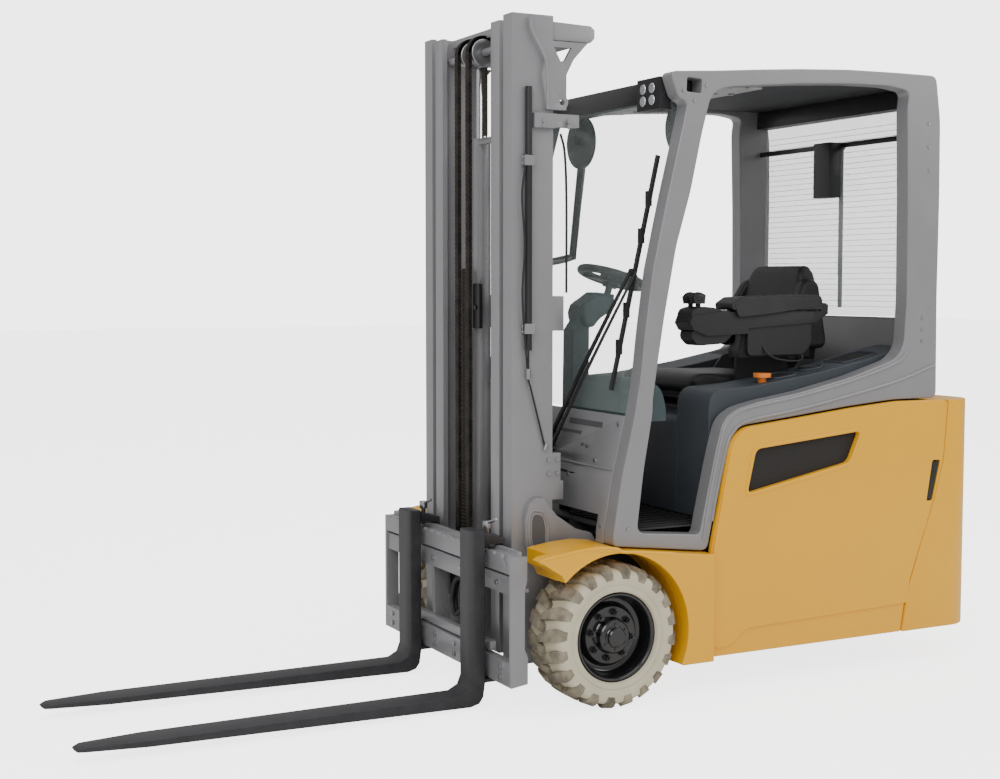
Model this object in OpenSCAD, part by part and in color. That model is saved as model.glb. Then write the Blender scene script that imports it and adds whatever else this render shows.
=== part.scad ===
// Three-wheel electric counterbalance truck. X forward, Y to the truck's left, Z up, millimetres.
// Every module is drawn from the point on the floor under the front axle, then moved by from_axle().

/* [Truck] */
// Distance from the front axle to the steered rear axle
wheelbase = 1249; // [1150:1:1500]
// Distance from the rear axle to the back of the counterweight
rear_overhang = 266; // [258:1:320]
// Width of the body over the side panels
body_w = 1060; // [1000:1:1280]
// Gap under the body
body_clear = 118; // [90:1:150]

/* [Wheels] */
// Diameter of a front tyre
front_tyre_d = 458; // [400:1:500]
// Width of a front tyre
front_tyre_w = 200; // [150:1:205]
// Width over the front tyres
front_width = 1120; // [1110:1:1344]
// Diameter of the seat that the front tyre is pressed on
front_rim_d = 284; // [230:1:310]
// Diameter of the front axle stubs
stub_d = 70; // [50:1:90]
// Diameter of a rear tyre
rear_tyre_d = 381; // [320:1:400]
// Width of a rear tyre
rear_tyre_w = 114; // [90:1:130]
// Gap between the twin rear tyres
rear_gap = 54; // [50:1:80]
// Diameter of the rear axle
rear_axle_d = 45; // [30:1:60]
// Diameter of the steering pivot
king_pin_d = 90; // [60:1:120]

/* [Mast] */
// Height of the lowered mast
mast_h = 2165; // [1900:1:2600]
// How far the inner mast rises
lift_travel = 1600; // [1200:1:1650]
// Depth of a mast rail, front to back
rail_depth = 147; // [130:1:160]
// Front face of the mast rails ahead of the axle
rail_front = 253; // [250:1:270]
// Outer face of an outer rail, from the middle
outer_rail_y = 324; // [318:1:330]
// Width of a rail flange
rail_w = 59; // [50:1:62]
// Outer face of an inner rail, from the middle
inner_rail_y = 239; // [225:1:245]
// Thickness of rail flanges and webs
rail_t = 18; // [14:1:22]
// Diameter of the mast pivot pins
mast_pin_d = 40; // [30:1:50]
// Diameter of the lift cylinders
lift_cyl_d = 62; // [50:1:70]
// Diameter of the lift rods
lift_rod_d = 40; // [30:1:45]
// Diameter of the tilt cylinders
tilt_cyl_d = 56; // [45:1:60]
// Diameter of the tilt cylinder pins
tilt_pin_d = 24; // [18:1:28]

/* [Forks] */
// Length of the fork blades
fork_l = 1220; // [900:1:1500]
// Width of a fork
fork_w = 100; // [80:1:120]
// Thickness of a fork
fork_t = 40; // [35:1:45]
// Width of the fork carriage
carriage_w = 980; // [900:1:1040]
// Middle of the left fork, from the middle of the carriage
left_fork_y = 303; // [220:1:340]
// Middle of the right fork, from the middle of the carriage
right_fork_y = -181; // [-300:1:-150]
// Height of the carriage
carriage_h = 406; // [400:1:480]

/* [Cab] */
// Height of the overhead guard
guard_h = 2045; // [1980:1:2300]
// Width over the cab side frames
cab_w = 1020; // [990:1:1080]
// Width of a cab pillar, seen from the front
pillar_w = 60; // [50:1:64]
// Thickness of the glass
glass_t = 6; // [4:1:8]
// Diameter of the steering wheel
wheel_d = 250; // [230:1:270]

/* [Fits] */
// Radial gap of a running fit
run_gap = 0.05; // [0.02:0.01:0.09]
// Gap between parts that move past each other
move_gap = 3; // [2:0.5:5]
// Gap along a body seam
seam_gap = 5; // [3:1:8]
// Radius of the towing pin hole in the counterweight
tow_hole_r = 16; // [10:1:20]

/* [Hidden] */
$fn = 48;

grey = [0.62, 0.62, 0.64];
yellow = [1, 0.8, 0.15];
black = [0.1, 0.1, 0.11];
hood_grey = [0.3, 0.33, 0.37];

rear_x = -(wheelbase + rear_overhang);
rail_back = rail_front - rail_depth;
inner_back = rail_back + 3;
carriage_front = rail_front + 88;
carriage_t = 30;
fork_front = carriage_front + 59;
fork_top = 48;
tip_x = fork_front + fork_l;
axle_x = -(tip_x + rear_x) / 2;
axle_z = front_tyre_d / 2;
rear_z = rear_tyre_d / 2;
body_y = body_w / 2;
cab_y = cab_w / 2;
cab_in = cab_y - pillar_w;
seam_x = -370;
panel_t = 25;
arch_r = axle_z + 36;
tyre_in_y = front_width / 2 - front_tyre_w;
pivot_x = rail_back - 6;
pivot_z = axle_z;
pivot_ear_r = 36;
lug_t = 18;
tilt_pin_x = -8;
tilt_pin_z = 500;
tilt_base_x = -350;
tilt_base_z = 488;
tilt_y = outer_rail_y - 22;
floor_z = 540;
floor_t = 6;
carriage_z = 94;
carriage_top = carriage_z + carriage_h;
inner_top = mast_h - 11;
inner_bottom = body_clear + 22;
pulley_x = rail_front - 40;
pulley_z = inner_top - 75;
pulley_r = 45;
rear_well_r = sqrt(pow(rear_z, 2) + pow(rear_gap / 2 + rear_tyre_w, 2)) + 14;
deck_z = rear_tyre_d + 60;
bay_back = -(wheelbase - rear_well_r) + 8;
screen = [[-92, 918], [-113, 1046], [-128, 1184], [-154, 1371], [-204, 1590], [-251, 1779], [-290, 1925]];
column_x = -165;
column_z = 600;
pedal_x = -255;
pedal_z = floor_z + 34;
pedal_out = -222;
hub_x = -305;
hub_z = 1331;
wheel_tilt = 18;
seat_y = 240;
recline_x = -985;
recline_z = 1040;
pod_y = 300;
pad_hinge_x = -965;
pad_hinge_z = 1250;
wiper_y = 45;
wiper_z = 752;
wiper_x = -61;
glass_lean = 10.4;
door_hinge_x = seam_x - 18;
door_hinge_y = body_y - 13;
rear_glass_x = rear_x + 200;
weight_top = 922;
side_skin = 42;
tow_x = rear_x + 60;
tow_slot_z = 498;
tow_slot_h = 70;
lift_y = 84;
chain_y = 40;
lift_x = rail_back + 48;
arm_l = 715;
arm_angle = 30.5;
blade_l = 760;
cylinder_top = mast_h - 350;
mirror_x = -352;
rod_bottom = cylinder_top - lift_travel - 50;

module from_axle() translate([axle_x, 0, 0]) children();
module mirror_y() mirror([0, 1, 0]) children();
module both() { children(); mirror_y() children(); }
// A side outline, drawn as [x, z], made t thick inwards from the plane at y
module side(y, t) translate([0, y, 0]) rotate([90, 0, 0]) linear_extrude(t) children();
// A round bar along Y between y0 and y1
module bar_y(x, z, r, y0, y1) translate([x, y1, z]) rotate([90, 0, 0]) cylinder(r = r, h = y1 - y0);
module block(x0, x1, y0, y1, z0, z1) translate([x0, y0, z0]) cube([x1 - x0, y1 - y0, z1 - z0]);
// A round bar between two points
module rod(a, b, r) {
    d = b - a;
    translate(a) rotate([0, atan2(norm([d[0], d[1]]), d[2]), atan2(d[1], d[0])]) cylinder(r = r, h = norm(d));
}
module rounded(w, d, r) {
    square([w - 2 * r, d], center = true);
    square([w, d - 2 * r], center = true);
    for (sx = [-1, 1]) for (sy = [-1, 1])
        translate([sx * (w / 2 - r), sy * (d / 2 - r)]) circle(r);
}

module chassis_frame() color("dimgray") from_axle() difference() {
    union() {
        block(bay_back - 8, seam_x - 20, -body_y + side_skin, body_y - side_skin, 148, 160);
        both() block(bay_back - 8, seam_x - 20, body_y - 60, body_y - side_skin, 125, 200);
        block(-408, -396, -body_y + side_skin, body_y - side_skin, 148, floor_z);
        block(-408, -62, -cab_in + 2, cab_in - 2, floor_z, floor_z + floor_t);
        block(bay_back - 8, bay_back, -body_y + side_skin, body_y - side_skin, 148, deck_z + 240);
        block(rear_x + 190, bay_back, -body_y + side_skin, body_y - side_skin, deck_z, deck_z + 20);
        both() block(-400, -56, 150, 168, 160, floor_z);
        both() translate([0, tilt_y, 0]) for (s = [-1, 1]) translate([0, s * 17, 0])
            rotate([90, 0, 0]) translate([0, 0, -4]) linear_extrude(8) difference() {
                polygon([[-400, 430], [-345, 455], [-325, tilt_base_z], [-345, 520], [-400, 535]]);
                translate([tilt_base_x, tilt_base_z]) circle(r = tilt_pin_d / 2);
            }
        both() bar_y(tilt_base_x, tilt_base_z, tilt_pin_d / 2, tilt_y - 21, tilt_y + 21);
        both() side(48, 10) polygon([[column_x - 36, floor_z], [column_x - 30, column_z + 30],
            [column_x + 30, column_z + 30], [column_x + 36, floor_z]]);
        for (y = [-38, pedal_out + 8]) side(y, 8) polygon([[pedal_x - 20, floor_z],
            [pedal_x - 14, pedal_z + 14], [pedal_x + 14, pedal_z + 14], [pedal_x + 20, floor_z]]);
        bar_y(pedal_x, pedal_z, 8, pedal_out, -40);
        for (z = [180, 400]) {
            block(-397, door_hinge_x + 5, body_y - 60, body_y - side_skin, z, z + 16);
            block(door_hinge_x - 5, door_hinge_x + 5, body_y - side_skin - 1, door_hinge_y + 5, z, z + 16);
            translate([door_hinge_x, door_hinge_y, z + 15]) cylinder(r = 5, h = 66);
        }
    }
    both() bar_y(column_x, column_z, 20 + run_gap, 30, 60);
    translate([-wheelbase, 0, deck_z - 1]) cylinder(r = king_pin_d / 2 + run_gap, h = 30);
}

module drive_axle() color("#2b2b2e") from_axle() {
    bar_y(0, axle_z, 56, -tyre_in_y + 6, tyre_in_y - 6);
    both() bar_y(0, axle_z, stub_d / 2, tyre_in_y - 7, front_width / 2 - 60);
    block(-56, -20, -168, 168, axle_z - 80, axle_z + 150);
    both() for (y = [outer_rail_y - rail_w - 23, outer_rail_y + 4]) {
        bar_y(pivot_x, pivot_z, pivot_ear_r - 4, y, y + 19);
        block(0, pivot_x, y, y + 19, pivot_z - 30, pivot_z + 30);
    }
    both() bar_y(pivot_x, pivot_z, mast_pin_d / 2, outer_rail_y - rail_w - 22, outer_rail_y + 22);
}

module battery() color("#33373c") from_axle() {
    block(bay_back + 12, -430, -cab_in + 5, cab_in - 5, 162, 800);
    for (i = [0:5]) for (j = [0:3])
        translate([bay_back + 60 + i * 82, -270 + j * 180, 799]) cylinder(r = 22, h = 14);
}

module fender_outline() difference() {
    polygon([[seam_x + seam_gap, 112], [seam_x + seam_gap, 461], [-210, 479], [-76, 495], [-16, 501],
        [6, 512], [70, 519], [140, 515], [200, 507], [262, 498], [277, 492], [262, 484], [200, 458],
        [172, 447], [160, 440], [0, 330], [-150, 112]]);
    translate([0, axle_z]) circle(r = arch_r, $fn = 120);
}
module fender() difference() {
    side(front_width / 2, front_width / 2 - tyre_in_y - 8) fender_outline();
    block(seam_x + 18, -200, tyre_in_y, front_width / 2 - 10, 100, 400);
    block(225, 300, tyre_in_y, carriage_w / 2 + 10, 400, 600);
}
module left_fender() color(yellow) from_axle() fender();
module right_fender() color(yellow) from_axle() mirror_y() fender();

// The seam between the side panel and the counterweight, from the top down
seam_top = rear_x + 145;
seam_line = [[seam_top, 924], [seam_top + 6, 860], [seam_top + 19, 715], [seam_top + 61, 566],
    [seam_top + 110, 440], [seam_top + 168, 278], [seam_top + 193, 135], [seam_top + 195, body_clear]];
panel_top = [[-372, 466], [-400, 600], [-441, 805], [-463, 839], [-501, 863], [-700, 883], [-940, 909],
    [-1138, 925]];
module panel_outline() polygon(concat([[seam_x - 2, body_clear]], panel_top, seam_line));

// All that lies ahead of the seam, with the seam gap
module ahead_of_seam() polygon(concat([[0, body_clear - 10], [0, 1000], [seam_top - seam_gap, 1000]],
    [for (p = seam_line) [p[0] - seam_gap, p[1]]], [[seam_top + 195 - seam_gap, body_clear - 10]]));
module counterweight() color(yellow) from_axle() difference() {
    translate([rear_x + 300, 0, body_clear]) linear_extrude(weight_top - body_clear)
        rounded(600, 2 * body_y, 110);
    block(rear_x + 400, 0, -body_y - 1, body_y + 1, 0, 1000);
    both() side(body_y + 20, 20 + side_skin + 2) ahead_of_seam();
    block(rear_x + 185, 0, -body_y + side_skin, body_y - side_skin, 0, 1000);
    translate([-wheelbase, 0, 0]) cylinder(r = rear_well_r, h = deck_z, $fn = 96);
    block(rear_x - 20, rear_x + 100, -60, 60, tow_slot_z, tow_slot_z + tow_slot_h);
    translate([tow_x, 0, tow_slot_z - 120]) cylinder(r = tow_hole_r, h = 1000);
}

module battery_hood() color(hood_grey) from_axle() difference() {
    both() union() {
        side(cab_in - 3, cab_in - 3 - seat_y - 16) polygon([[-412, floor_z + 14], [-412, 940], [-425, 968],
            [-455, 982], [-600, 990], [-850, 1025], [-1050, 1062], [-1190, 1092], [rear_glass_x + 12, 1110],
            [rear_glass_x + 12, 870], [-1000, 850], [-424, 830], [-424, floor_z + 14]]);
        side(seat_y + 17, seat_y + 17) polygon([[-412, floor_z + 14], [-412, 868], [-430, 884],
            [rear_glass_x + 12, 884], [rear_glass_x + 12, 870], [-1000, 850], [-424, 830],
            [-424, floor_z + 14]]);
    }
    both() translate([-1080, 345, 1000]) rotate([0, 10, 0]) block(-55, 55, -42, 42, 0, 150);
    translate([-905, 345, 1010]) cylinder(r = 38, h = 60);
    translate([-660, 400, 960]) cylinder(r = 14 + move_gap, h = 80);
}

module panel() {
    difference() {
        side(body_y, panel_t) panel_outline();
        side(body_y - 6, panel_t) translate([-40, 20]) polygon([[-400, 120], [-430, 560], [-480, 790],
            [-530, 820], [-1090, 870], [-1270, 860], [-1255, 690], [-1150, 400], [-1120, 120]]);
        side(body_y + 1, 5) polygon([[-541, 790], [-978, 828], [-930, 726], [-507, 646]]);
    }
}
module right_side_panel() color(yellow) from_axle() mirror_y() panel();

module side_door() color(yellow) from_axle() difference() {
    union() {
        panel();
        for (z = [200, 420]) translate([door_hinge_x, door_hinge_y, z]) cylinder(r = 12, h = 66);
    }
    for (z = [200, 420]) {
        translate([door_hinge_x, door_hinge_y, z - 1]) cylinder(r = 5 + run_gap, h = 68);
        block(door_hinge_x - 14, seam_x, body_y - 30, body_y - 4, z - 24, z);
    }
    side(body_y + 1, 15) latch_outline(move_gap);
    latch_pin(4 + run_gap, 8);
}
module latch_pin(r, extra) rod([seam_top + 58 - extra * 26 / 148, body_y - 7, 716 + extra],
    [seam_top + 84 + extra * 26 / 148, body_y - 7, 568 - extra], r);
module latch_outline(g) polygon([[seam_top + 34 - g, 708 + g], [seam_top + 62 + g, 708 + g],
    [seam_top + 86 + g, 576 - g], [seam_top + 68 - g, 576 - g]]);
module door_latch() color(black) from_axle() {
    side(body_y - 2, 10) latch_outline(0);
    latch_pin(4, 0);
}

module cab_outline() difference() {
    polygon([[-9, 508], [-10, 543], [-41, 726], [-86, 913], [-109, 1046], [-124, 1184], [-150, 1371],
        [-200, 1590], [-247, 1779], [-276, 1900], [-241, 1911], [-208, guard_h - 52], [-386, guard_h - 40],
        [-554, guard_h - 26], [-715, guard_h - 14], [-924, guard_h - 3], [-1130, guard_h],
        [rear_x + 208, guard_h], [rear_x + 186, 1892], [rear_x + 183, 1619], [rear_x + 186, 1272],
        [rear_x + 181, 930], [-1138, 930], [-940, 914], [-700, 888], [-501, 868], [-458, 842], [-436, 806],
        [-394, 600], [-366, 466]]);
    polygon([[-97, 544], [-122, 745], [-154, 924], [-154, 965], [-171, 1077], [-195, 1225], [-238, 1448],
        [-290, 1619], [-332, 1806], [-363, 1918], [-392, guard_h - 100], [-440, guard_h - 88],
        [-716, guard_h - 62], [-925, guard_h - 50], [-1100, guard_h - 47], [rear_x + 326, guard_h - 60],
        [rear_x + 336, 1930], [rear_x + 327, 1616], [rear_x + 323, 1273], [rear_x + 333, 1110],
        [-1140, 1068], [-946, 1012], [-734, 968], [-570, 944], [-482, 925], [-440, 900], [-420, 872],
        [-397, 792], [-360, 632], [-338, 530], [-330, 522]]);
    translate([-300, guard_h - 90]) rotate(3) square([56, 44], center = true);
}
module cab_frame() {
    side(cab_y, pillar_w) cab_outline();
    side(cab_y + 6, 7) polygon([[-382, 556], [-396, 632], [-429, 785], [-450, 842], [-498, 878],
        [-730, 914], [-941, 950], [-1161, 995], [rear_x + 190, 1045], [rear_x + 190, 1062],
        [-1161, 1012], [-941, 966], [-730, 930], [-496, 894], [-445, 846], [-420, 785], [-384, 632],
        [-370, 556]]);
}
module left_cab_frame() color(grey) from_axle() cab_frame();
module right_cab_frame() color(grey) from_axle() mirror_y() cab_frame();

module cab_crossmembers() color(black) from_axle() {
    block(-345, -300, -cab_in, cab_in, guard_h - 125, guard_h - 50);
    block(rear_x + 190, rear_x + 250, -cab_in, cab_in, guard_h - 100, guard_h - 36);
    block(rear_x + 185, rear_x + 193, -cab_in, cab_in, 926, 1208);
    block(rear_x + 222, rear_x + 234, -cab_in, cab_in, 1835, 1853);
    block(rear_x + 235, rear_x + 290, -45, 45, 1650, 1853);
    rod([rear_x + 206, 0, 1844], [rear_x + 236, 0, 1844], 9);
    rod([-388, -cab_in + 1, 1836], [-440, -cab_in + 30, 1836], 12);
    rod([-440, -cab_in + 30, 1848], [-395, -cab_in + 30, 1420], 14);
    rod([-395, -cab_in + 30, 1430], [-262, -cab_in + 1, 1400], 12);
    both() rod([-330, 330, guard_h - 115], [mirror_x, 330, guard_h - 176], 7);
    both() translate([mirror_x, 330, guard_h - 216]) cylinder(r = 5, h = 42);
}
module roof_panel() color("#4a4c50") from_axle() side(cab_in - 1, 2 * cab_in - 2) polygon([
    [-350, guard_h - 50], [-554, guard_h - 32], [-715, guard_h - 20], [-924, guard_h - 9],
    [-1130, guard_h - 6], [rear_x + 192, guard_h - 6], [rear_x + 192, guard_h - 34],
    [-1130, guard_h - 34], [-924, guard_h - 37], [-715, guard_h - 48], [-554, guard_h - 60],
    [-350, guard_h - 78]]);

module windscreen() color([0.6, 0.75, 0.72, 0.35]) from_axle() side(cab_in - 1, 2 * cab_in - 2)
    polygon(concat(screen, [for (i = [6:-1:0]) screen[i] - [glass_t, 0]]));
module rear_window() color([0.7, 0.75, 0.75, 0.35]) from_axle()
    block(rear_glass_x, rear_glass_x + glass_t, -cab_in + 1, cab_in - 1, 1210, guard_h - 101);

module front_cowl() color(grey) from_axle() difference() {
    side(cab_in - 1, 2 * cab_in - 2) polygon([[-86, 910], [-41, 726], [-10, 543], [-10, 508], [-22, 508],
        [-22, 543], [-53, 726], [-98, 910]]);
    block(-100, 20, -400, 400, 400, 594);
    at_screen(wiper_y, wiper_z) rotate([0, 90, 0]) translate([0, 0, -60])
        cylinder(r = 9 + run_gap, h = 120);
}
module floor_mat() color(black) from_axle() difference() {
    block(-400, -104, -cab_in + 6, cab_in - 6, floor_z + floor_t, floor_z + floor_t + 8);
    block(-290, -100, -240, 66, floor_z, floor_z + 40);
}
module dash_console() color("#3a4648") from_axle() side(400, 360) polygon([[-96, 880], [-108, 914], [-120, 960],
    [-140, 1000], [-180, 1022], [-225, 1020], [-262, 995], [-280, 950], [-284, 880]]);

module seat_suspension() color(black) from_axle() {
    block(-960, -560, -190, 190, 884, 900);
    for (s = [-1, 1]) translate([0, s * 150 - 6, 0]) {
        side(12, 12) polygon([[-930, 900], [-900, 900], [-600, 925], [-630, 925]]);
        side(12, 12) polygon([[-630, 900], [-600, 900], [-900, 925], [-930, 925]]);
    }
    block(-960, -560, -190, 190, 925, 936);
}
module seat_cushion() color(black) from_axle() {
    side(seat_y, 2 * seat_y) polygon([[-496, 985], [-500, 1012], [-530, 1028], [-900, 1018], [-930, 1000],
        [-930, 955], [-900, 948], [-520, 952]]);
    block(-960, -560, -190, 190, 937, 949);
    both() side(seat_y, 10) difference() {
        polygon([[-905, 940], [-905, 1005], [-955, 1062], [-1010, 1062], [-1012, 1020], [-985, 940]]);
        translate([recline_x, recline_z]) circle(r = 10 + run_gap);
    }
}
module seat_backrest() color(black) from_axle() {
    side(seat_y - 24, 2 * seat_y - 48) polygon([[-945, 1030], [-975, 1200], [-1010, 1385], [-1030, 1402],
        [-1065, 1402], [-1085, 1385], [-1075, 1200], [-1040, 1030]]);
    bar_y(recline_x, recline_z, 10, -seat_y, seat_y);
    both() side(seat_y + 12, 40) polygon([[-925, 1090], [-955, 1250], [-990, 1340], [-1040, 1360],
        [-1075, 1340], [-1070, 1090]]);
}
module armrest_console() color(black) from_axle() {
    side(pod_y + 30, 74) polygon([[-620, 1078], [-640, 1180], [-915, 1195], [-915, 1078]]);
    block(-880, -660, seat_y + 2, seat_y + 14, 938, 1090);
    block(-880, -660, seat_y + 2, pod_y, 1078, 1090);
    block(-880, -660, 192, seat_y + 14, 938, 947);
    side(pod_y + 52, 94) polygon([[-415, 1175], [-400, 1200], [-410, 1222], [-560, 1240], [-560, 1235],
        [-915, 1235], [-915, 1194], [-640, 1178], [-640, 1160], [-470, 1155]]);
    for (y = [pod_y - 16, pod_y + 48]) side(y, 12) polygon([[-900, 1195], [-900, 1234], [-948, 1234],
        [-948, 1258], [-980, 1258], [-980, 1225], [-930, 1195]]);
    bar_y(pad_hinge_x, pad_hinge_z, 7, pod_y - 27, pod_y + 47);
}
module armrest_pad() color("#151516") from_axle() difference() {
    union() {
        side(pod_y + 60, 96) polygon([[-566, 1241], [-560, 1262], [-590, 1280], [-900, 1288],
            [-938, 1284], [-945, 1270], [-945, 1238]]);
        side(pod_y + 35, 50) polygon([[pad_hinge_x, 1238], [-940, 1238], [-940, 1262], [pad_hinge_x, 1262]]);
        bar_y(pad_hinge_x, pad_hinge_z, 12, pod_y - 15, pod_y + 35);
    }
    bar_y(pad_hinge_x, pad_hinge_z, 7 + run_gap, pod_y - 20, pod_y + 40);
}
module lever(y) {
    translate([-450, y, 1236]) rotate([90, 0, 0]) cylinder(r = 8, h = 24, center = true);
    block(-456, -446, y - 8, y + 8, 1242, 1270);
    side(y + 13, 26) polygon([[-470, 1262], [-474, 1292], [-455, 1300], [-425, 1286], [-430, 1262]]);
}
module lift_lever() color(black) from_axle() lever(pod_y + 22);
module tilt_lever() color(black) from_axle() lever(pod_y - 22);
module emergency_stop() color("darkorange") from_axle() {
    translate([-660, 400, 975]) cylinder(r = 14, h = 41);
    translate([-660, 400, 1015]) cylinder(r = 30, h = 14);
}

module steering_column() color("#3d4446") from_axle() {
    side(35, 70) polygon([[-130, column_z - 20], [-138, 1170], [-160, 1200], [-162, 1255], [-230, 1300],
        [-300, 1292], [-296, 1240], [-200, 1185], [-195, column_z - 20]]);
    translate([hub_x, 0, hub_z]) rotate([0, -wheel_tilt, 0]) translate([0, 0, -70]) cylinder(r = 12, h = 70);
    translate([column_x, 0, column_z]) rotate([90, 0, 0]) cylinder(r = 20, h = 100, center = true);
}
module at_wheel() translate([hub_x, 0, hub_z]) rotate([0, -wheel_tilt, 0]) children();
module steering_wheel() color(black) from_axle() at_wheel() difference() {
    union() {
        rotate_extrude($fn = 96) translate([wheel_d / 2 - 14, 20]) circle(r = 14);
        cylinder(r = 42, h = 22);
        translate([0, 0, -14]) cylinder(r = 26, h = 16);
        for (a = [0, 120, 240]) rotate(a + 60) block(30, wheel_d / 2 - 20, -14, 14, 6, 16);
        rotate(205) translate([wheel_d / 2 - 14, 0, 20]) cylinder(r = 5, h = 34);
    }
    translate([0, 0, -15]) cylinder(r = 12 + run_gap, h = 16);
}
module steering_knob() color("#2e3033") from_axle() at_wheel() rotate(205)
    translate([wheel_d / 2 - 14, 0, 36]) difference() {
        cylinder(r = 24, h = 30);
        translate([0, 0, -1]) cylinder(r = 5 + run_gap, h = 20);
    }

module pedal(y0, y1) difference() {
    union() {
        bar_y(pedal_x, pedal_z, 14, y0, y1);
        side(y1 - 4, y1 - y0 - 8) polygon([[pedal_x - 6, pedal_z + 6], [pedal_x + 6, pedal_z + 4],
            [pedal_x + 66, pedal_z + 156], [pedal_x + 56, pedal_z + 158]]);
    }
    bar_y(pedal_x, pedal_z, 8 + run_gap, y0 - 1, y1 + 1);
}
module accelerator_pedal() color(black) from_axle() pedal(-212, -136);
module brake_pedal() color(black) from_axle() pedal(-126, -56);

module outer_rail(z0, z1) {
    block(rail_back, rail_back + rail_t, outer_rail_y - rail_w, outer_rail_y, z0, z1);
    block(rail_front - rail_t, rail_front, outer_rail_y - rail_w, outer_rail_y, z0, z1);
    block(rail_back + 1, rail_front - 1, outer_rail_y - rail_t, outer_rail_y, z0, z1);
}
module head_bracket() side(outer_rail_y + 14, 14.5) difference() {
    union() {
        polygon([[200, mast_h - 13], [116, mast_h - 16], [116, mast_h - 80], [-10, mast_h - 80],
            [40, mast_h - 133], [66, mast_h - 182], [66, mast_h - 292], [136, mast_h - 292],
            [152, mast_h - 185], [140, mast_h - 140], [196, mast_h - 50]]);
        translate([82, mast_h - 268]) circle(r = 22);
    }
    polygon([[112, mast_h - 98], [48, mast_h - 98], [70, mast_h - 136], [86, mast_h - 143]]);
    translate([82, mast_h - 268]) circle(r = 9);
}
module mast_lug() side(outer_rail_y + lug_t, lug_t) difference() {
    union() {
        polygon([[212, 500], [212, 590], [200, 632], [176, 652], [148, 650], [100, 592], [31, 545],
            [tilt_pin_x, 532], [tilt_pin_x, 468], [60, 458], [150, 452], [192, 466]]);
        translate([tilt_pin_x, tilt_pin_z]) circle(r = 32);
    }
}
module outer_mast() color(grey) from_axle() difference() {
    union() {
        both() {
            outer_rail(body_clear, mast_h);
            bar_y(pivot_x, pivot_z, pivot_ear_r, outer_rail_y - rail_w, outer_rail_y);
            block(pivot_x, rail_back + 2, outer_rail_y - rail_w, outer_rail_y, pivot_z - 30, pivot_z + 30);
            head_bracket();
            mast_lug();
            bar_y(tilt_pin_x, tilt_pin_z, tilt_pin_d / 2, tilt_y - 18, outer_rail_y + lug_t);
            block(20, rail_back, outer_rail_y - 14, outer_rail_y + 14, mast_h - 345, mast_h - 305);
            block(rail_back, 183, outer_rail_y, outer_rail_y + 20, mast_h - 350, mast_h - 305);
            block(76, rail_back, outer_rail_y - 30, outer_rail_y, 700, 790);
        }
        side(outer_rail_y, 2 * outer_rail_y) polygon([[rail_back, mast_h - 18], [-30, mast_h - 22],
            [-44, mast_h - 34], [-44, mast_h - 60], [-30, mast_h - 74], [rail_back, mast_h - 74]]);
        block(66, rail_back + 1, -outer_rail_y, outer_rail_y, 1180, 1290);
        block(66, rail_back + 1, -outer_rail_y, outer_rail_y, 640, 700);
        block(rail_back + 1, rail_back + 54, -outer_rail_y + 2, outer_rail_y - 2, body_clear, body_clear + 16);
    }
    both() bar_y(pivot_x, pivot_z, mast_pin_d / 2 + run_gap, outer_rail_y - rail_w - 1, outer_rail_y + 1);
}
module lift_cylinders() color("#6f7276") from_axle() {
    both() translate([lift_x, lift_y, body_clear + 16]) difference() {
        cylinder(r = lift_cyl_d / 2, h = cylinder_top - body_clear - 16);
        translate([0, 0, 20]) cylinder(r = lift_rod_d / 2 + run_gap, h = mast_h);
    }
    block(lift_x + 6, lift_x + 24, -lift_y + 24, lift_y - 24, cylinder_top - 22, cylinder_top - 2);
}
module lift_rods() color("silver") from_axle() both() translate([lift_x, lift_y, rod_bottom])
    cylinder(r = lift_rod_d / 2, h = inner_top - 26 - rod_bottom);
module height_sensor() color(black) from_axle() {
    translate([200, outer_rail_y + 12, 1120]) cylinder(r = 11, h = 820);
    block(186, 214, outer_rail_y, outer_rail_y + 24, 1700, 1730);
    block(186, 214, outer_rail_y, outer_rail_y + 24, 1180, 1200);
    rod([200, outer_rail_y + 12, 1122], [200, outer_rail_y + 12, 1030], 3);
    rod([200, outer_rail_y + 12, 1032], [135, outer_rail_y + 6, 806], 3);
}
module inner_rail() {
    for (x = [inner_back, rail_front - rail_t])
        block(x, x + rail_t, inner_rail_y - rail_w, inner_rail_y, inner_bottom, inner_top);
    block(inner_back + 1, rail_front - 1, inner_rail_y - rail_w + 20, inner_rail_y - rail_w + 36,
        inner_bottom, inner_top);
}
module inner_mast() color(grey) from_axle() {
    both() inner_rail();
    block(inner_back, rail_front - 50, -inner_rail_y + 2, inner_rail_y - 2, inner_top - 26, inner_top);
    block(inner_back, inner_back + 7, -inner_rail_y + 2, inner_rail_y - 2, 1000, 1080);
    both() bar_y(pulley_x, pulley_z, 12, chain_y - 26, inner_rail_y - rail_w + 21);
    for (z = [190, 440]) both() bar_y(180, z, 40, inner_rail_y + 2, outer_rail_y - rail_t - 3);
    for (z = [190, 440]) both() bar_y(180, z, 14, inner_rail_y - rail_w + 30, inner_rail_y + 3);
}
module chain_pulleys() color("#8a8c8f") from_axle() both() translate([pulley_x, chain_y, pulley_z])
    rotate([90, 0, 0]) difference() {
        cylinder(r = pulley_r, h = 34, center = true);
        cylinder(r = 12 + run_gap, h = 40, center = true);
    }
module lift_chains() color("#3b3b3c") from_axle() both() {
    block(pulley_x + pulley_r + 1, pulley_x + pulley_r + 9, chain_y - 14, chain_y + 14, 470, pulley_z);
    block(pulley_x - pulley_r - 9, pulley_x - pulley_r - 1, chain_y - 14, chain_y + 14, cylinder_top, pulley_z);
}
module mast_hoses() color(black) from_axle() for (y = [-75, -97])
    translate([pulley_x, y, 480]) cylinder(r = 11, h = 900);

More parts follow.
